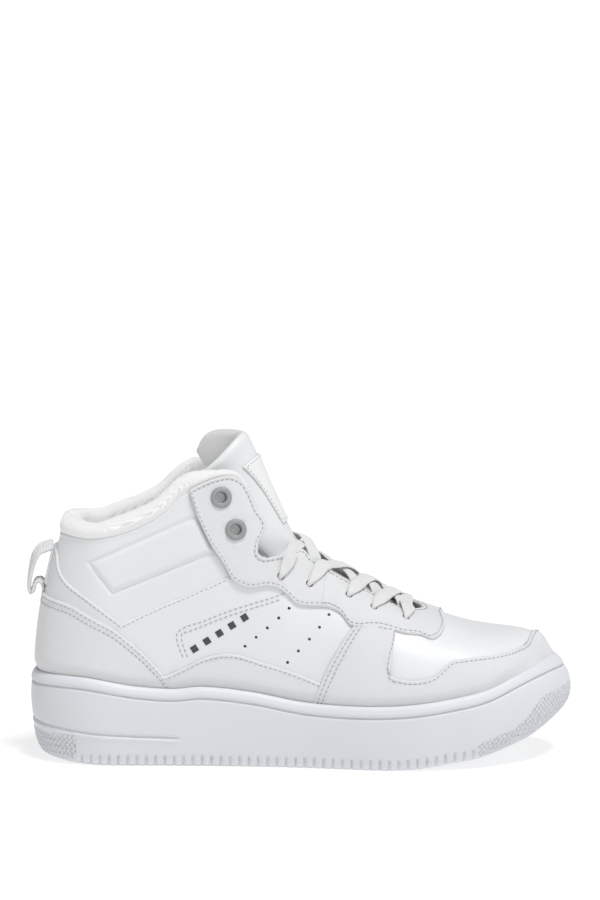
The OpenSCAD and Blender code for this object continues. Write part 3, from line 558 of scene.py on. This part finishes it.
def heel_piece(name, old, front, low, high, wide, bottom, top, step=0.9, **how):
    s, u, a = wrap(u_list(HEEL_END, front, step), low, high, "heel", wide)
    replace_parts(finish_panel(name, s, u, a, PEBBLED, bottom, top, **how), old)


def uppers():
    heel_piece("heel_counter_leather", "heel_counter_cover", -66, at_bottom, height_of(COUNTER_EDGE), 42,
               OVER_IN, OVER_OUT, rims=("high",), seams=(("high", 1.7), ("high", 4.4)))
    heel_piece("heel_strap_leather", "heel_strap", -90, height_of(COUNTER_EDGE, -4), height_of(STRAP_EDGE),
               20, BASE_IN, BASE_OUT + 0.3, rims=("high",), seams=(("high", 1.7),))
    heel_piece("backstay_leather", "backstay", -140.5, lambda s, u: at_z(s, u, 88),
               lambda s, u: at_z(s, u, 107), 17, 0.8, OVER_OUT - 0.2, step=0.6,
               seams=(("start", 1.5), ("end", 1.5)))
    # the toe's stations stay evenly spaced where they meet at its front
    toe_us = np.concatenate([46.5 + spread(98.5)[:-4] * 98.5, [TOE_END]])
    s, u, a = wrap(toe_us, at_bottom, height_of(VAMP_SEAM), "toe", 18)
    mudguard_toe = (s, u, a)
    for side in (-1, 1):
        name = "lateral" if side < 0 else "medial"
        quarter(side, name)
        lower_overlay(side, name)
        collar_panel(side, name)
        eyestay(side, name)
    mudguard(mudguard_toe)
    vamp()
    front_eyestay()


def panel(name, side, rows, material, bottom, top, **how):
    return finish_panel(name, *panel_grid(side, rows), material, bottom, top, **how)


def seams_on(side, *edges):
    """Swaps the start and end of a panel's seams on the inner side, where rows run back."""
    swap = {"start": "end", "end": "start"}
    return tuple((swap.get(e[0], e[0]) if side > 0 else e[0], *e[1:]) for e in edges)


PERFORATIONS = [(-5.5, 80.7), (-10.7, 76), (-16.4, 71), (-22, 66.3), (-27.6, 61.7),
                (14.5, 77.3), (9.8, 71.3), (4.7, 65.5), (-0.8, 59.6), (-6.2, 53.8)]


def drill(obj, side, places, radius, depth=9):
    """Bores real holes, square to the surface, with one mesh of cylinders."""
    verts, faces = [], []
    for u, z in places:
        a = at_z(side, u, z)
        c, n = surf(side, u, a), normal(side, u, a)
        t = unit(np.cross(n, [0, 0, 1]))
        b = np.cross(n, t)
        base = len(verts)
        for d in (-depth / 2, depth / 2):
            for k in range(20):
                q = 2 * math.pi * k / 20
                verts.append((c + d * n + radius * (math.cos(q) * t + math.sin(q) * b)) * MM)
        faces += [(base + k, base + (k + 1) % 20, base + 20 + (k + 1) % 20, base + 20 + k) for k in range(20)]
        faces += [tuple(base + k for k in range(19, -1, -1)), tuple(base + 20 + k for k in range(20))]
    mesh = bpy.data.meshes.new("drill")
    mesh.from_pydata([tuple(v) for v in verts], [], faces)
    tool = bpy.data.objects.new("drill", mesh)
    bpy.context.scene.collection.objects.link(tool)
    cut = obj.modifiers.new("holes", "BOOLEAN")
    cut.object, cut.operation, cut.solver = tool, "DIFFERENCE", "EXACT"
    graph = bpy.context.evaluated_depsgraph_get()
    done = bpy.data.meshes.new_from_object(obj.evaluated_get(graph))
    obj.modifiers.remove(cut)
    obj.data = done
    bpy.data.objects.remove(tool)


def quarter(side, name):
    rows = [(-93.5, 66, -94, 70), (-84, 59, -74, 79.8), (-74, 49, -54.6, 88), (-66, 37.5, -44, 92.8),
            (-56, 37.6, -36, 96.6), (-40, 36, -30, 98), (-25, 34.8, -20, 96), (-12, 32.6, -8, 92),
            (2, 30.3, 6, 86), (12, 29.6, 18, 82), (22, 29.2, 30, 76)]
    obj = panel(name + "_quarter_leather", side, rows, SMOOTH_LEATHER, BASE_IN, BASE_OUT,
                rims=("high",), seams=(("high", 1.7, 0, 0.5),))
    drill(obj, side, PERFORATIONS, 0.75, 4)
    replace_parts(obj, name + "_quarter")
    # double-stitched tab round the badge
    for off in (0, 2.4):
        outline = [(-7.6 - off, 88 - 1.2 * off), (-35, 79.6 - off), (-50, 73.7 - off),
                   (-57.5 + off * 0.4, 71.2 - off), (-61.6 + off, 68), (-61.4 + off, 63),
                   (-58.6 + off, 55.5)]
        path = along(outline, np.linspace(0, 1, 120))
        a = at_z(side, path[:, 0], path[:, 1])
        out = normal(side, path[:, 0], a)
        stitch_row(surf(side, path[:, 0], a) + (BASE_OUT + 0.05) * out, out, pitch=2.7)
    badge(side)


def badge(side):
    """A plain row of five small squares stands where the real shoe has a printed name."""
    for k in range(5):
        cx, cz = -53 + 6.3 * k, 60.2 + 4.0 * k
        w = np.linspace(-1.7, 1.7, 7)
        gx, gz = np.meshgrid(w, w, indexing="ij")
        tilt = math.atan2(4.0, 6.3)
        u = cx + gx * math.cos(tilt) - gz * math.sin(tilt)
        z = cz + gx * math.sin(tilt) + gz * math.cos(tilt)
        if side > 0:
            u, z = u[::-1], z[::-1]
        a = at_z(side, u, z)
        s = np.full(u.shape, side)
        skin("badge_%d_%d" % (k, side), on_skin(s, u, a, np.full(u.shape, BASE_OUT + 0.18)),
             on_skin(s, u, a, np.full(u.shape, BASE_OUT - 0.3)), INK)


def lower_overlay(side, name):
    us = u_list(-69, 13)
    s, u, a = wrap(us, at_bottom, height_of(OVERLAY_EDGE), side, 22)
    obj = finish_panel(name + "_lower_overlay_leather", s, u, a, PEBBLED, OVER_IN, OVER_OUT - 0.35,
                       rims=("high",), seams=(("high", 1.7),))
    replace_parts(obj, name + "_lower_overlay")


PAD = [(-106, 103), (-94.4, 88), (-43, 109), (-52, 127)]


def pad_bulge(points):
    """Raises the quilted pad of the collar panel, inside a line pressed round it."""
    corners = np.array(PAD, float)
    p = points[..., [0, 2]]
    inside = np.full(p.shape[:-1], 1e9)
    for k in range(4):
        c, d = corners[k], corners[(k + 1) % 4]
        t = (d - c) / np.linalg.norm(d - c)
        inside = np.minimum(inside, (p - c) @ np.array([-t[1], t[0]]))
    return 0.7 * smooth(0, 3, inside) - 0.7 * np.exp(-(inside / 0.8) ** 2)


def collar_panel(side, name):
    rows = [(-149.9, 105, -149.9, 115.2), (-141, 104.5, -141, 115.6), (-133, 102.5, -133, 116),
            (-126.4, 94, -128, 116.2), (-120, 89, -120, 116), (-108, 82, -108, 115.6),
            (-98, 75, -98, 116.5), (-92, 70, -90, 118.2), (-84, 72, -84, 120.2), (-74, 77, -77.5, 123.2),
            (-66, 80.4, -72, 126), (-58, 84, -67, 129.6), (-50, 88, -63.5, 133.2),
            (-42, 92, -60, 136.9), (-36, 96, -55, 139.8), (-33, 100, -52, 141.2)]
    obj = panel(name + "_collar_leather", side, rows, SMOOTH_LEATHER, BASE_IN - 0.4, BASE_OUT - 0.8,
                rims=("high",), bulge=pad_bulge)
    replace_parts(obj, name + "_collar_panel")


def eyestay(side, name):
    tip = -17.4
    rows = [(-55.6, 139.6, -54.8, 140.6), (-52, 128.5, -48, 143.8), (-50, 123.5, -42, 145.8),
            (-47.5, 118, -35.6, 146.6), (-45, 113, -30, 144.2), (-42.5, 109, -26, 138.8),
            (-39, 104, -21.8, 129.4), (-36.5, 99.5, tip, 121.5), (-34.2, 95.4, -20.6, 115),
            (-30.4, 92.6, -21.4, 109), (-25.5, 91, -18.5, 106), (-16.8, 91.8, -12, 106.3)]
    rows += [(-11, 90.4, -6, 106.6)]
    for u, z, v in ((-6.2, 86.6, 0), (-2, 82.6, 4), (3.5, 81.3, 8), (9, 80.9, 11), (14.5, 80.3, 13.4),
                    (19.6, 78.2, 15)):
        top = surf(side, v, at_y(side, v, THROAT_HALF + 0.6))[2]
        rows.append((u, z, v, float(top)))
    seams = seams_on(side, ("low", 1.8), ("high", 2.4))
    obj = panel(name + "_eyestay_leather", side, rows, PEBBLED, OVER_IN, OVER_OUT, seams=seams,
                rims=("low", "high"))
    drill(obj, side, LACE_HOLES[:2], 1.9)
    drill(obj, side, METAL_EYELETS, 3.4, 7)
    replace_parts(obj, name + "_eyestay")


def mudguard(toe):
    """Low round the toe, and up to the eyestay behind the vamp on both sides."""
    s, u, a = toe
    obj = finish_panel("mudguard_leather", s, u, a, PEBBLED, OVER_IN, OVER_OUT, rims=("high",),
                       seams=(("high", 2.0),))
    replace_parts(obj, "mudguard")
    for side in (-1, 1):
        rows = [(4.5, 32, 26.8, 71.5), (14, 29.6, 32, 72), (24, 29.2, 38, 72), (36, 29, 43, 71),
                (42, 29.4, 47.2, 69.5), (44.2, 29.6, 46.2, 64), (45.6, 29.8, 44.4, 58.5),
                (46.4, 29.9, 43.6, 53), (47, 30, 44.6, 49.2), (47.6, 30.1, 47.8, 47.2)]
        piece = panel("mudguard_side_%d" % side, side, rows, PEBBLED, OVER_IN, OVER_OUT + 0.02,
                      rims=("start", "high") if side < 0 else ("end", "high"),
                      seams=seams_on(side, ("start", 2.2), ("start", 4.6), ("high", 2.2, 0.42, 1)))
        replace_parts(piece, "mudguard")


def throat_edge(grow, count, rear=10):
    """The U of the throat in plan, from the outer side round the front to the inner side."""
    half = THROAT_HALF + grow
    centre = THROAT_END - THROAT_HALF
    t = np.linspace(-1, 1, count)
    straight = 0.42
    q = np.clip(np.abs(t) / straight, 0, 1) * np.pi / 2
    x = np.where(np.abs(t) > straight, centre - (np.abs(t) - straight) / (1 - straight) * (centre - rear),
                 centre + half * np.cos(q))
    return np.stack([x, np.sign(t) * half * np.sin(q)], -1)


def cross_grid(inner, outer, shares, d):
    p = inner[:, None] + shares[None, :, None] * (outer - inner)[:, None]
    return on_top(p[..., 0], p[..., 1], np.full(p.shape[:2], float(d)))


def finish_cross(name, inner, outer, wide, material, bottom, top, seam_offs, rims):
    """A panel over the forefoot, between the throat's edge and an outer edge in plan."""
    shares = spread(wide, 0.8)
    flat = cross_grid(inner, outer, shares, top)
    low = cross_grid(inner, outer, shares, bottom)
    outs = unit(flat - low)
    lines = []
    for edge, off in seam_offs:
        run, turned = (flat, outs) if edge == "inner" else (flat[:, ::-1], outs[:, ::-1])
        line = np.array([between(off, arc(r), r) for r in run])
        out = np.array([between(off, arc(r), o) for r, o in zip(run, turned)])
        lines.append((line, out))
    d = np.zeros(flat.shape[:2])
    for edge in rims:
        line = flat[:, 0] if edge == "inner" else flat[:, -1]
        away = nearest(flat.reshape(-1, 3), line).reshape(d.shape)
        d -= rim_fall(away, top - bottom)
    for line, out in lines:
        d -= seam_dip(nearest(flat.reshape(-1, 3), line).reshape(d.shape))
        stitch_row(line - THREAD_SUNK * unit(out), out)
    return skin(name, (flat + d[..., None] * outs)[:, ::-1], low[:, ::-1], material)


def vamp():
    us = np.concatenate([np.linspace(38, 100, 90), np.linspace(100, TOE_END, 70)[1:]])
    s = np.concatenate([np.full(len(us), -1), np.full(len(us) - 1, 1)])
    u = np.concatenate([us, us[-2::-1]])
    reach = 0.998 - 0.05 * smooth(62, 80, u) - 0.1 * smooth(100, 140, u)
    x, y = plan(s, u, reach * upper_r(s, u))
    inner = throat_edge(4, len(u), rear=32)
    obj = finish_cross("vamp_leather", inner, np.stack([x, y], -1), 60, SMOOTH_LEATHER, BASE_IN, BASE_OUT,
                       (), ())
    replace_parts(obj, "vamp")


def front_eyestay():
    xs = np.array([11, 14.8, 20.3, 24.9, 30, 42, 52.3, 60])
    edge = {}
    for side in (-1, 1):
        y = surf(side, xs, at_z(side, xs, curve(STAY_EDGE, xs)))[:, 1]
        front = [(66.3, 33.8 * side), (70, 30 * side), (72.2, 24 * side), (73, 16 * side)]
        edge[side] = np.concatenate([np.stack([xs, y], -1), front])
    outline = np.concatenate([edge[-1], [(72.2, 0)], edge[1][::-1]])
    inner = throat_edge(0.6, 360, rear=12.5)
    outer = along(outline, np.linspace(0, 1, 360))
    obj = finish_cross("front_eyestay_leather", inner, outer, 17, PEBBLED, OVER_IN, OVER_OUT + 0.15,
                       (("inner", 2.4), ("outer", 1.9)), ("inner", "outer"))
    for side in (-1, 1):
        drill(obj, side, LACE_HOLES[2:], 1.9)
    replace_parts(obj, "front_eyestay")


# ---------------------------------------------------------------- collar
FLAP_PAD, COLLAR_PAD = 1.4, 7


def roll_path(s, u):
    """The mesh at one station as [height, distance from the surface], out, over the top and in.
    Only on the outer side it is pulled down to a narrow band along the flap."""
    seam, top = float(curve(COLLAR_SEAM, u)), float(curve(COLLAR_TOP, u))
    flap = float(smooth(-50, -34, u))
    top -= flap * max(0, top - seam - 2.8) if s < 0 else 0
    pad = FLAP_PAD + (COLLAR_PAD - FLAP_PAD) * (1 - float(smooth(-78, -52, u))) + 2
    low = 110 if u > -24 else 94 - 8 * (1 - float(smooth(-80, -50, u)))
    puff = 0.9 * (1 - flap)
    path = [(seam - 2.5, -2), (seam - 0.1, -1.5), (seam + 0.25 * (top - seam), 0.5 * puff - 0.3),
            (seam + 0.5 * (top - seam), puff - 0.3), (seam + 0.78 * (top - seam), puff - 0.8),
            (top - 0.4, -0.25 * pad - 0.4), (top, -0.5 * pad),
            (top - 0.7, -0.8 * pad - 0.3), (top - 3, -pad - 0.4), ((seam + top) / 2 - 5, -pad - 0.7),
            ((seam + low) / 2, -pad - 1), (low, -pad - 1)]
    return along(path, np.linspace(0, 1, 46))


def collar():
    us = np.concatenate([np.linspace(HEEL_END, -60, 110), np.linspace(-60, -19.5, 60)[1:]])
    outer, inner = [], []
    for s, u in [(1, u) for u in us[::-1]] + [(-1, u) for u in us[1:]]:
        path = roll_path(s, u)
        ahead = np.gradient(path, axis=0)
        side = unit(np.stack([-ahead[:, 1], ahead[:, 0]], -1))
        for rows, q in ((outer, path), (inner, path + 0.8 * side)):
            uu = np.full(len(q), u)
            rows.append(on_skin(s, uu, at_z(s, uu, q[:, 0]), q[:, 1]))
    obj = skin("collar_mesh_roll", np.array(outer), np.array(inner), MESH)
    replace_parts(obj, "collar_lining", "collar_foam")


# ---------------------------------------------------------------- tongue
TONGUE_LINE = [(66, 68.3), (54, 75.2), (36, 82.2), (20, 91.5), (5, 103.4), (-1, 109.8), (-5, 116.5),
               (-15.4, 139), (-21.7, 154.5), (-27.6, 167)]


def tongue_line(t):
    key = np.arange(len(TONGUE_LINE)) / (len(TONGUE_LINE) - 1)
    return curves(key, TONGUE_LINE, t)


def tongue_point(t, w, d):
    """t runs up the tongue, w from -1 to 1 across it, d outward."""
    t, w = np.broadcast_arrays(np.asarray(t, float), np.asarray(w, float))
    half = 18 + 2.5 * (1 - smooth(0.5, 0.62, t)) + 3 * smooth(0.9, 1, t) - 5 * (1 - smooth(0, 0.15, t)) \
        + 2.5 * smooth(0.42, 0.52, t) * (1 - smooth(0.66, 0.8, t))
    deep = (15 + 13 * smooth(0.5, 0.9, t) + 5 * smooth(0.75, 1, t)) / 0.8
    root = np.sqrt(1 - 0.96 * w * w)
    lower = np.clip(t - smooth(0.7, 1, t) * np.where(w < 0, 0.07 * np.abs(w) ** 3, 0.045 * w ** 14), 0, 1)
    c = tongue_line(lower)
    ahead = unit(tongue_line(lower + 0.01) - tongue_line(lower - 0.01))
    rise = 9.5 * smooth(0.8, 1, t) * np.where(w > 0, w * w * (1 - w ** 12), 0)
    c = c + rise[..., None] * ahead
    nx, nz = ahead[..., 1], -ahead[..., 0]
    back = deep * (1 - root)
    across = unit(np.stack([np.ones_like(w), deep * 0.96 * w / root / half], -1))
    return np.stack([c[..., 0] - nx * back + d * nx * across[..., 0], w * half + d * across[..., 1],
                     c[..., 1] - nz * back + d * nz * across[..., 0]], -1)


def cushion(t, w):
    """How full the tongue is: 1 in the middle, 0 at its edges."""
    side = np.sqrt(np.clip(1 - np.abs(w / 0.97) ** 9, 0, 1))
    end = np.sqrt(np.clip(1 - np.clip((t - 0.965) / 0.03, 0, 1) ** 2, 0, 1))
    return side * end


def tongue():
    rounded = 0.965 + 0.03 * np.sin(np.linspace(0, np.pi / 2, 9)[1:])
    t = np.concatenate([np.linspace(0.01, 0.965, 190), rounded])
    w = 0.97 * np.sin(np.linspace(-np.pi / 2, np.pi / 2, 75))
    t, w = np.meshgrid(t, w, indexing="ij")
    half = 1.5 + 1.1 * smooth(0.5, 0.72, t)
    full = cushion(t, w)
    for name, sign, mat, old in (("tongue_leather", 1, SMOOTH_LEATHER, ("tongue_lower", "tongue_top")),
                                 ("tongue_mesh_lining", -1, GREY_MESH, ("tongue_foam", "tongue_lining"))):
        face = tongue_point(t, w, half * (sign * full - 1))
        core = tongue_point(t, w, half * (sign * 0.6 * full - 1))
        a, b = (face, core) if sign > 0 else (core, face)
        obj = skin(name, a[::-1], b[::-1], mat, body=None)
        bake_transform(obj)
        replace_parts(obj, *old)
    label()


def label():
    """A blank woven label on the front of the tongue, stitched round its border."""
    low, high, narrow, wide = 0.69, 0.885, 0.4, 0.66      # as t and w on the tongue
    long, across = 33, 24                                # in mm
    share_t, share_w = spread(long), spread(across)
    t = low + (high - low) * share_t[:, None] + 0 * share_w[None]
    reach = narrow + (wide - narrow) * share_t[:, None]
    w = reach * (2 * share_w[None] - 1)
    edge = np.minimum(np.minimum(share_t, 1 - share_t)[:, None] * long,
                      np.minimum(share_w, 1 - share_w)[None] * across)
    d = 1.15 - rim_fall(edge, 0.8) - 0.15 * np.exp(-((edge - 1.6) / 0.5) ** 2)
    outer, inner = tongue_point(t, w, d), tongue_point(t, w, 0.1)
    obj = skin("tongue_label_blank", outer[::-1], inner[::-1], LABEL_LEATHER, "tongue_top")
    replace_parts(obj, "tongue_label")
    a, b, r = low + 0.008, high - 0.008, 0.93
    loop = [(a, -1), (b, -1), (b, 1), (a, 1), (a, -1)]
    for (t0, w0), (t1, w1) in zip(loop, loop[1:]):
        k = np.linspace(0, 1, 60)
        tt = t0 + k * (t1 - t0)
        ww = r * (narrow + (wide - narrow) * (tt - low) / (high - low)) * (w0 + k * (w1 - w0))
        p = tongue_point(tt, ww, 1.0)
        stitch_row(p, p - tongue_point(tt, ww, 0), "tongue_top", 2.2, 1.3)


# ---------------------------------------------------------------- laces
LACE_LINE = [(-8, 113.5), (0, 109.6), (6, 105.2), (13, 100.8), (20, 96.6), (31, 91), (36, 88.5),
             (46, 83.4), (52, 80.4), (60, 76.5)]
LACE_WIDE, LACE_THICK = 7.4, 1.3
UNDER, OVER = -4.8, OVER_OUT + 0.7 + LACE_THICK / 2


def at_hole(s, k, d, wide):
    u, z = LACE_HOLES[k]
    a = at_z(s, u, z)
    return [*on_skin(s, u, a, d), wide, *normal(s, u, a)]


def at_edge(s, u, r, d, wide=LACE_WIDE):
    a = at_y(s, u, r)
    return [*on_skin(s, u, a, d), wide, *normal(s, u, a)]


def across_at(x, y, rise):
    return [x, y, curve(LACE_LINE, x) - 0.012 * y * y + rise, LACE_WIDE, 0.45, y * 0.015, 1]


def leg(s, k, rise):
    """From under hole k on side s, over the throat, to under the next hole on the other side."""
    u = LACE_HOLES[k][0]
    run = (LACE_HOLES[k + 1][0] - u) * (0.8 if k == 3 else 1)
    if k == 0:
        a = at_z(s, -6.5, 105.5)
        rim = [*on_skin(s, -6.5, a, OVER + 0.2), LACE_WIDE, *normal(s, -6.5, a)]
    else:
        rim = at_edge(s, u + 0.3 * run, THROAT_HALF + 2, OVER)
    hole = at_hole(s, k, OVER + 0.5, 5.4)
    middle = [*((np.array(hole[:3]) + rim[:3]) / 2), 6.0, *hole[4:]]
    return [at_hole(s, k, UNDER + 1, 2.4), at_hole(s, k, OVER - 1.2, 2.6), middle, rim,
            across_at(u + 0.62 * run, 9 * s, 0.6 * rise), across_at(u + 0.92 * run, 0, rise),
            across_at(u + 1.17 * run, -9 * s, 0.4 * rise), at_edge(-s, u + 1.28 * run, 14.5, -1.2),
            at_edge(-s, u + 1.25 * run, 19, UNDER + 0.4, 5.5), at_hole(-s, k + 1, UNDER, 3)]


def front_bar():
    ends = [[at_hole(s, 4, UNDER + 1, 2.4), at_hole(s, 4, OVER - 1.2, 2.6), at_edge(s, 53.2, 20, OVER + 0.4)]
            for s in (-1, 1)]
    return ends[0] + [across_at(53.8, -9, 0.8), across_at(54, 0, 1), across_at(53.8, 9, 0.8)] + ends[1][::-1]


def band(name, path):
    """A flat woven band with rounded edges and a slight crown."""
    path, count = np.array(path, float), 110
    t = arc(path[:, :3])
    p = curves(t / t[-1], path, np.linspace(0, 1, count))
    centre, wide, out = p[:, :3], p[:, 3], unit(p[:, 4:])
    ahead = unit(np.gradient(centre, axis=0))
    side = unit(np.cross(ahead, out))
    up = np.cross(side, ahead)
    q = np.linspace(0, 2 * np.pi, 25)[:-1]
    cw = np.sign(np.cos(q)) * np.abs(np.cos(q)) ** 0.7
    ch = np.sign(np.sin(q)) * np.abs(np.sin(q)) ** 0.8
    thick = LACE_THICK / 2 * (1 + 0.7 * smooth(5.5, 2.6, wide))
    ring = centre[:, None] + (wide / 2)[:, None, None] * cw[None, :, None] * side[:, None] \
        + thick[:, None, None] * (ch + 0.25 * (1 - cw * cw))[None, :, None] * up[:, None]
    cols = len(q)
    i, j = np.meshgrid(np.arange(count - 1), np.arange(cols), indexing="ij")
    a, b = i * cols + j, i * cols + (j + 1) % cols
    faces = np.stack([a, a + cols, b + cols, b], -1).reshape(-1, 4).tolist()
    faces += [list(range(cols)), list(range((count - 1) * cols, count * cols))[::-1]]
    obj = make(name, ring.reshape(-1, 3), faces, LACE)
    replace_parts(obj, "shoelace")


def laces():
    for k in range(4):
        band("lace_outer_leg_%d" % k, leg(-1, k, 0.4 if k == 0 else 2.2))
        band("lace_inner_leg_%d" % k, leg(1, k, 3.6 if k == 0 else 0.3))
    band("lace_front_bar", front_bar())


# ---------------------------------------------------------------- eyelets and pull loop
def lathe(name, profile, s, u, z, material, old):
    a = at_z(s, u, z)
    c, n = surf(s, u, a), normal(s, u, a)
    x = unit(np.cross(n, [0, 0, 1]))
    y = np.cross(n, x)
    q = np.linspace(0, 2 * np.pi, 49)[:-1]
    turned = np.cos(q)[:, None] * x + np.sin(q)[:, None] * y
    profile = np.array(profile, float)
    grid = c + profile[None, :, :1] * turned[:, None] + profile[None, :, 1:] * n
    rows, cols = grid.shape[:2]
    i, j = np.meshgrid(np.arange(rows), np.arange(cols), indexing="ij")
    k, m = (i + 1) % rows, (j + 1) % cols
    faces = np.stack([i * cols + j, i * cols + m, k * cols + m, k * cols + j], -1).reshape(-1, 4)
    obj = make(name, grid.reshape(-1, 3), faces.tolist(), material)
    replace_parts(obj, old)


def eyelets():
    rim, bore, top = 5.35, 2.7, OVER_OUT
    front = [(bore, -4.6), (bore + 0.6, -4.6), (bore + 0.6, top + 0.1), (rim - 0.3, top + 0.1),
             (rim, top + 0.35), (rim - 0.15, top + 0.8), (rim - 0.8, top + 1.15), (rim - 1.6, top + 1.25),
             (bore + 0.5, top + 1.1), (bore + 0.1, top + 0.7), (bore, top + 0.1)]
    back = [(bore, -5.4), (rim - 0.6, -5.4), (rim - 0.3, -5.1), (rim - 0.6, -4.8), (bore, -4.8)]
    for s, name in ((-1, "lateral"), (1, "medial")):
        for k, (u, z) in enumerate(METAL_EYELETS):
            lathe("%s_eyelet_%d" % (name, k), front, s, u, z, METAL, name + "_eyelets")
            lathe("%s_washer_%d" % (name, k), back, s, u, z, METAL, name + "_eyelet_washers")


def webbing(name, line, body, old, lean):
    """Ribbed tape, ten millimetres wide, along a line of [x, z]. It leans by that much at its start and end,
    so that its near edge lies inside its far edge."""
    steps = max(8, int(arc(np.array(line, float))[-1] / 0.22))
    p = along(line, np.linspace(0, 1, steps))
    ahead = unit(np.gradient(p, axis=0))
    out = np.stack([-ahead[:, 1], ahead[:, 0]], -1)
    t = arc(p)
    rib = 0.13 * np.cos(2 * np.pi * t / 1.5)
    w = np.sin(np.linspace(-np.pi / 2, np.pi / 2, 25))
    edge = 1 - 0.35 * np.abs(w) ** 8
    rings = []
    tilt = (lean[0] + (lean[1] - lean[0]) * t / t[-1])[:, None] * w[None]
    for sign in (1, -1):
        d = sign * ((0.92 + rib)[:, None] * edge[None]) - tilt
        x = p[:, :1] + d * out[:, :1]
        z = p[:, 1:] + d * out[:, 1:]
        rings.append(np.stack([x, 5 * w[None] + 0 * x, z], -1))
    obj = skin(name, rings[0], rings[1], WEBBING, body)
    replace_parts(obj, old)


def pull_loop():
    loop = [(-130, 106.3), (-132, 105.4), (-134.3, 102.6), (-136.1, 97.3), (-137.3, 91), (-137.7, 87),
            (-137.6, 84.8), (-136.9, 83.6), (-136.1, 83.7)]
    top = [(-125.4, 107.4), (-127.6, 107.2), (-130, 106.3)]
    low = [(-129.2, 84.4), (-130.2, 87.6), (-131.8, 89.6), (-133.7, 89.4), (-135, 87.2), (-135.5, 84.7),
           (-136.1, 83.7)]
    webbing("pull_loop_webbing", loop, "pull_loop", "pull_loop", (1.7, 0))
    webbing("loop_anchor_top", top, "shoe", "loop_anchor", (1.7, 1.7))
    webbing("loop_anchor_low", low, "shoe", "loop_anchor", (0.8, 0))


# ---------------------------------------------------------------- inner pieces, stage and camera
def dress_inner_pieces():
    finishes = {"midsole_wedge": (CLOTH, "wedge_foam"), "insole_board": (CLOTH, "board"),
                "sockliner": (CLOTH, "sockliner_cloth"), "heel_stiffener": (CLOTH, "board"),
                "toe_puff": (CLOTH, "board"), "upper_lining": (CLOTH, "lining_cloth"),
                "vamp_lining": (CLOTH, "lining_cloth")}
    for name, (mat, slot) in finishes.items():
        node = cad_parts[name]
        node.data.materials.clear()
        node.data.materials.append(mat)


def stage():
    floor = bpy.data.meshes.new("floor")
    floor.from_pydata([(-20, -20, 0), (20, -20, 0), (20, 20, 0), (-20, 20, 0)], [], [(0, 1, 2, 3)])
    floor = bpy.data.objects.new("floor", floor)
    bpy.context.scene.collection.objects.link(floor)
    white = bpy.data.materials.new("floor_white")
    white.use_nodes = True
    shader = white.node_tree.nodes["Principled BSDF"]
    for socket, value in (("Base Color", (0.42, 0.42, 0.42, 1)), ("Roughness", 1), ("Specular IOR Level", 0),
                          ("Emission Color", (1, 1, 1, 1)), ("Emission Strength", 0.64)):
        shader.inputs[socket].default_value = value
    floor.data.materials.append(white)
    world = bpy.data.worlds.new("studio")
    bpy.context.scene.world = world
    world.use_nodes = True
    world.node_tree.nodes["Background"].inputs["Color"].default_value = (1, 1, 1, 1)
    world.node_tree.nodes["Background"].inputs["Strength"].default_value = 0.46
    for name, place, strength in (("top_sun", (0.2, -0.3, 1), 2.0), ("front_sun", (0.5, -1, 0.5), 0.35)):
        light = bpy.data.lights.new(name, "SUN")
        light.energy, light.angle = strength, math.radians(14)
        obj = bpy.data.objects.new(name, light)
        obj.rotation_euler = (-Vector(place)).to_track_quat("-Z", "Y").to_euler()
        bpy.context.scene.collection.objects.link(obj)


def camera():
    distance, elevation, aim = 2.5, math.radians(8), Vector((0, 0, 0.1561))
    cam = bpy.data.cameras.new("camera")
    cam.sensor_fit, cam.sensor_height = "VERTICAL", 36
    cam.lens = 36 * distance / 0.45585
    obj = bpy.data.objects.new("camera", cam)
    obj.location = aim + distance * Vector((0, -math.cos(elevation), math.sin(elevation)))
    obj.rotation_euler = (math.radians(90) - elevation, 0, 0)
    bpy.context.scene.collection.objects.link(obj)
    bpy.context.scene.camera = obj


cupsole()
uppers()
collar()
tongue()
laces()
eyelets()
pull_loop()
make_stitches(SHADED_THREAD)
dress_inner_pieces()
stage()
camera()
bpy.context.scene.view_settings.view_transform = "Standard"
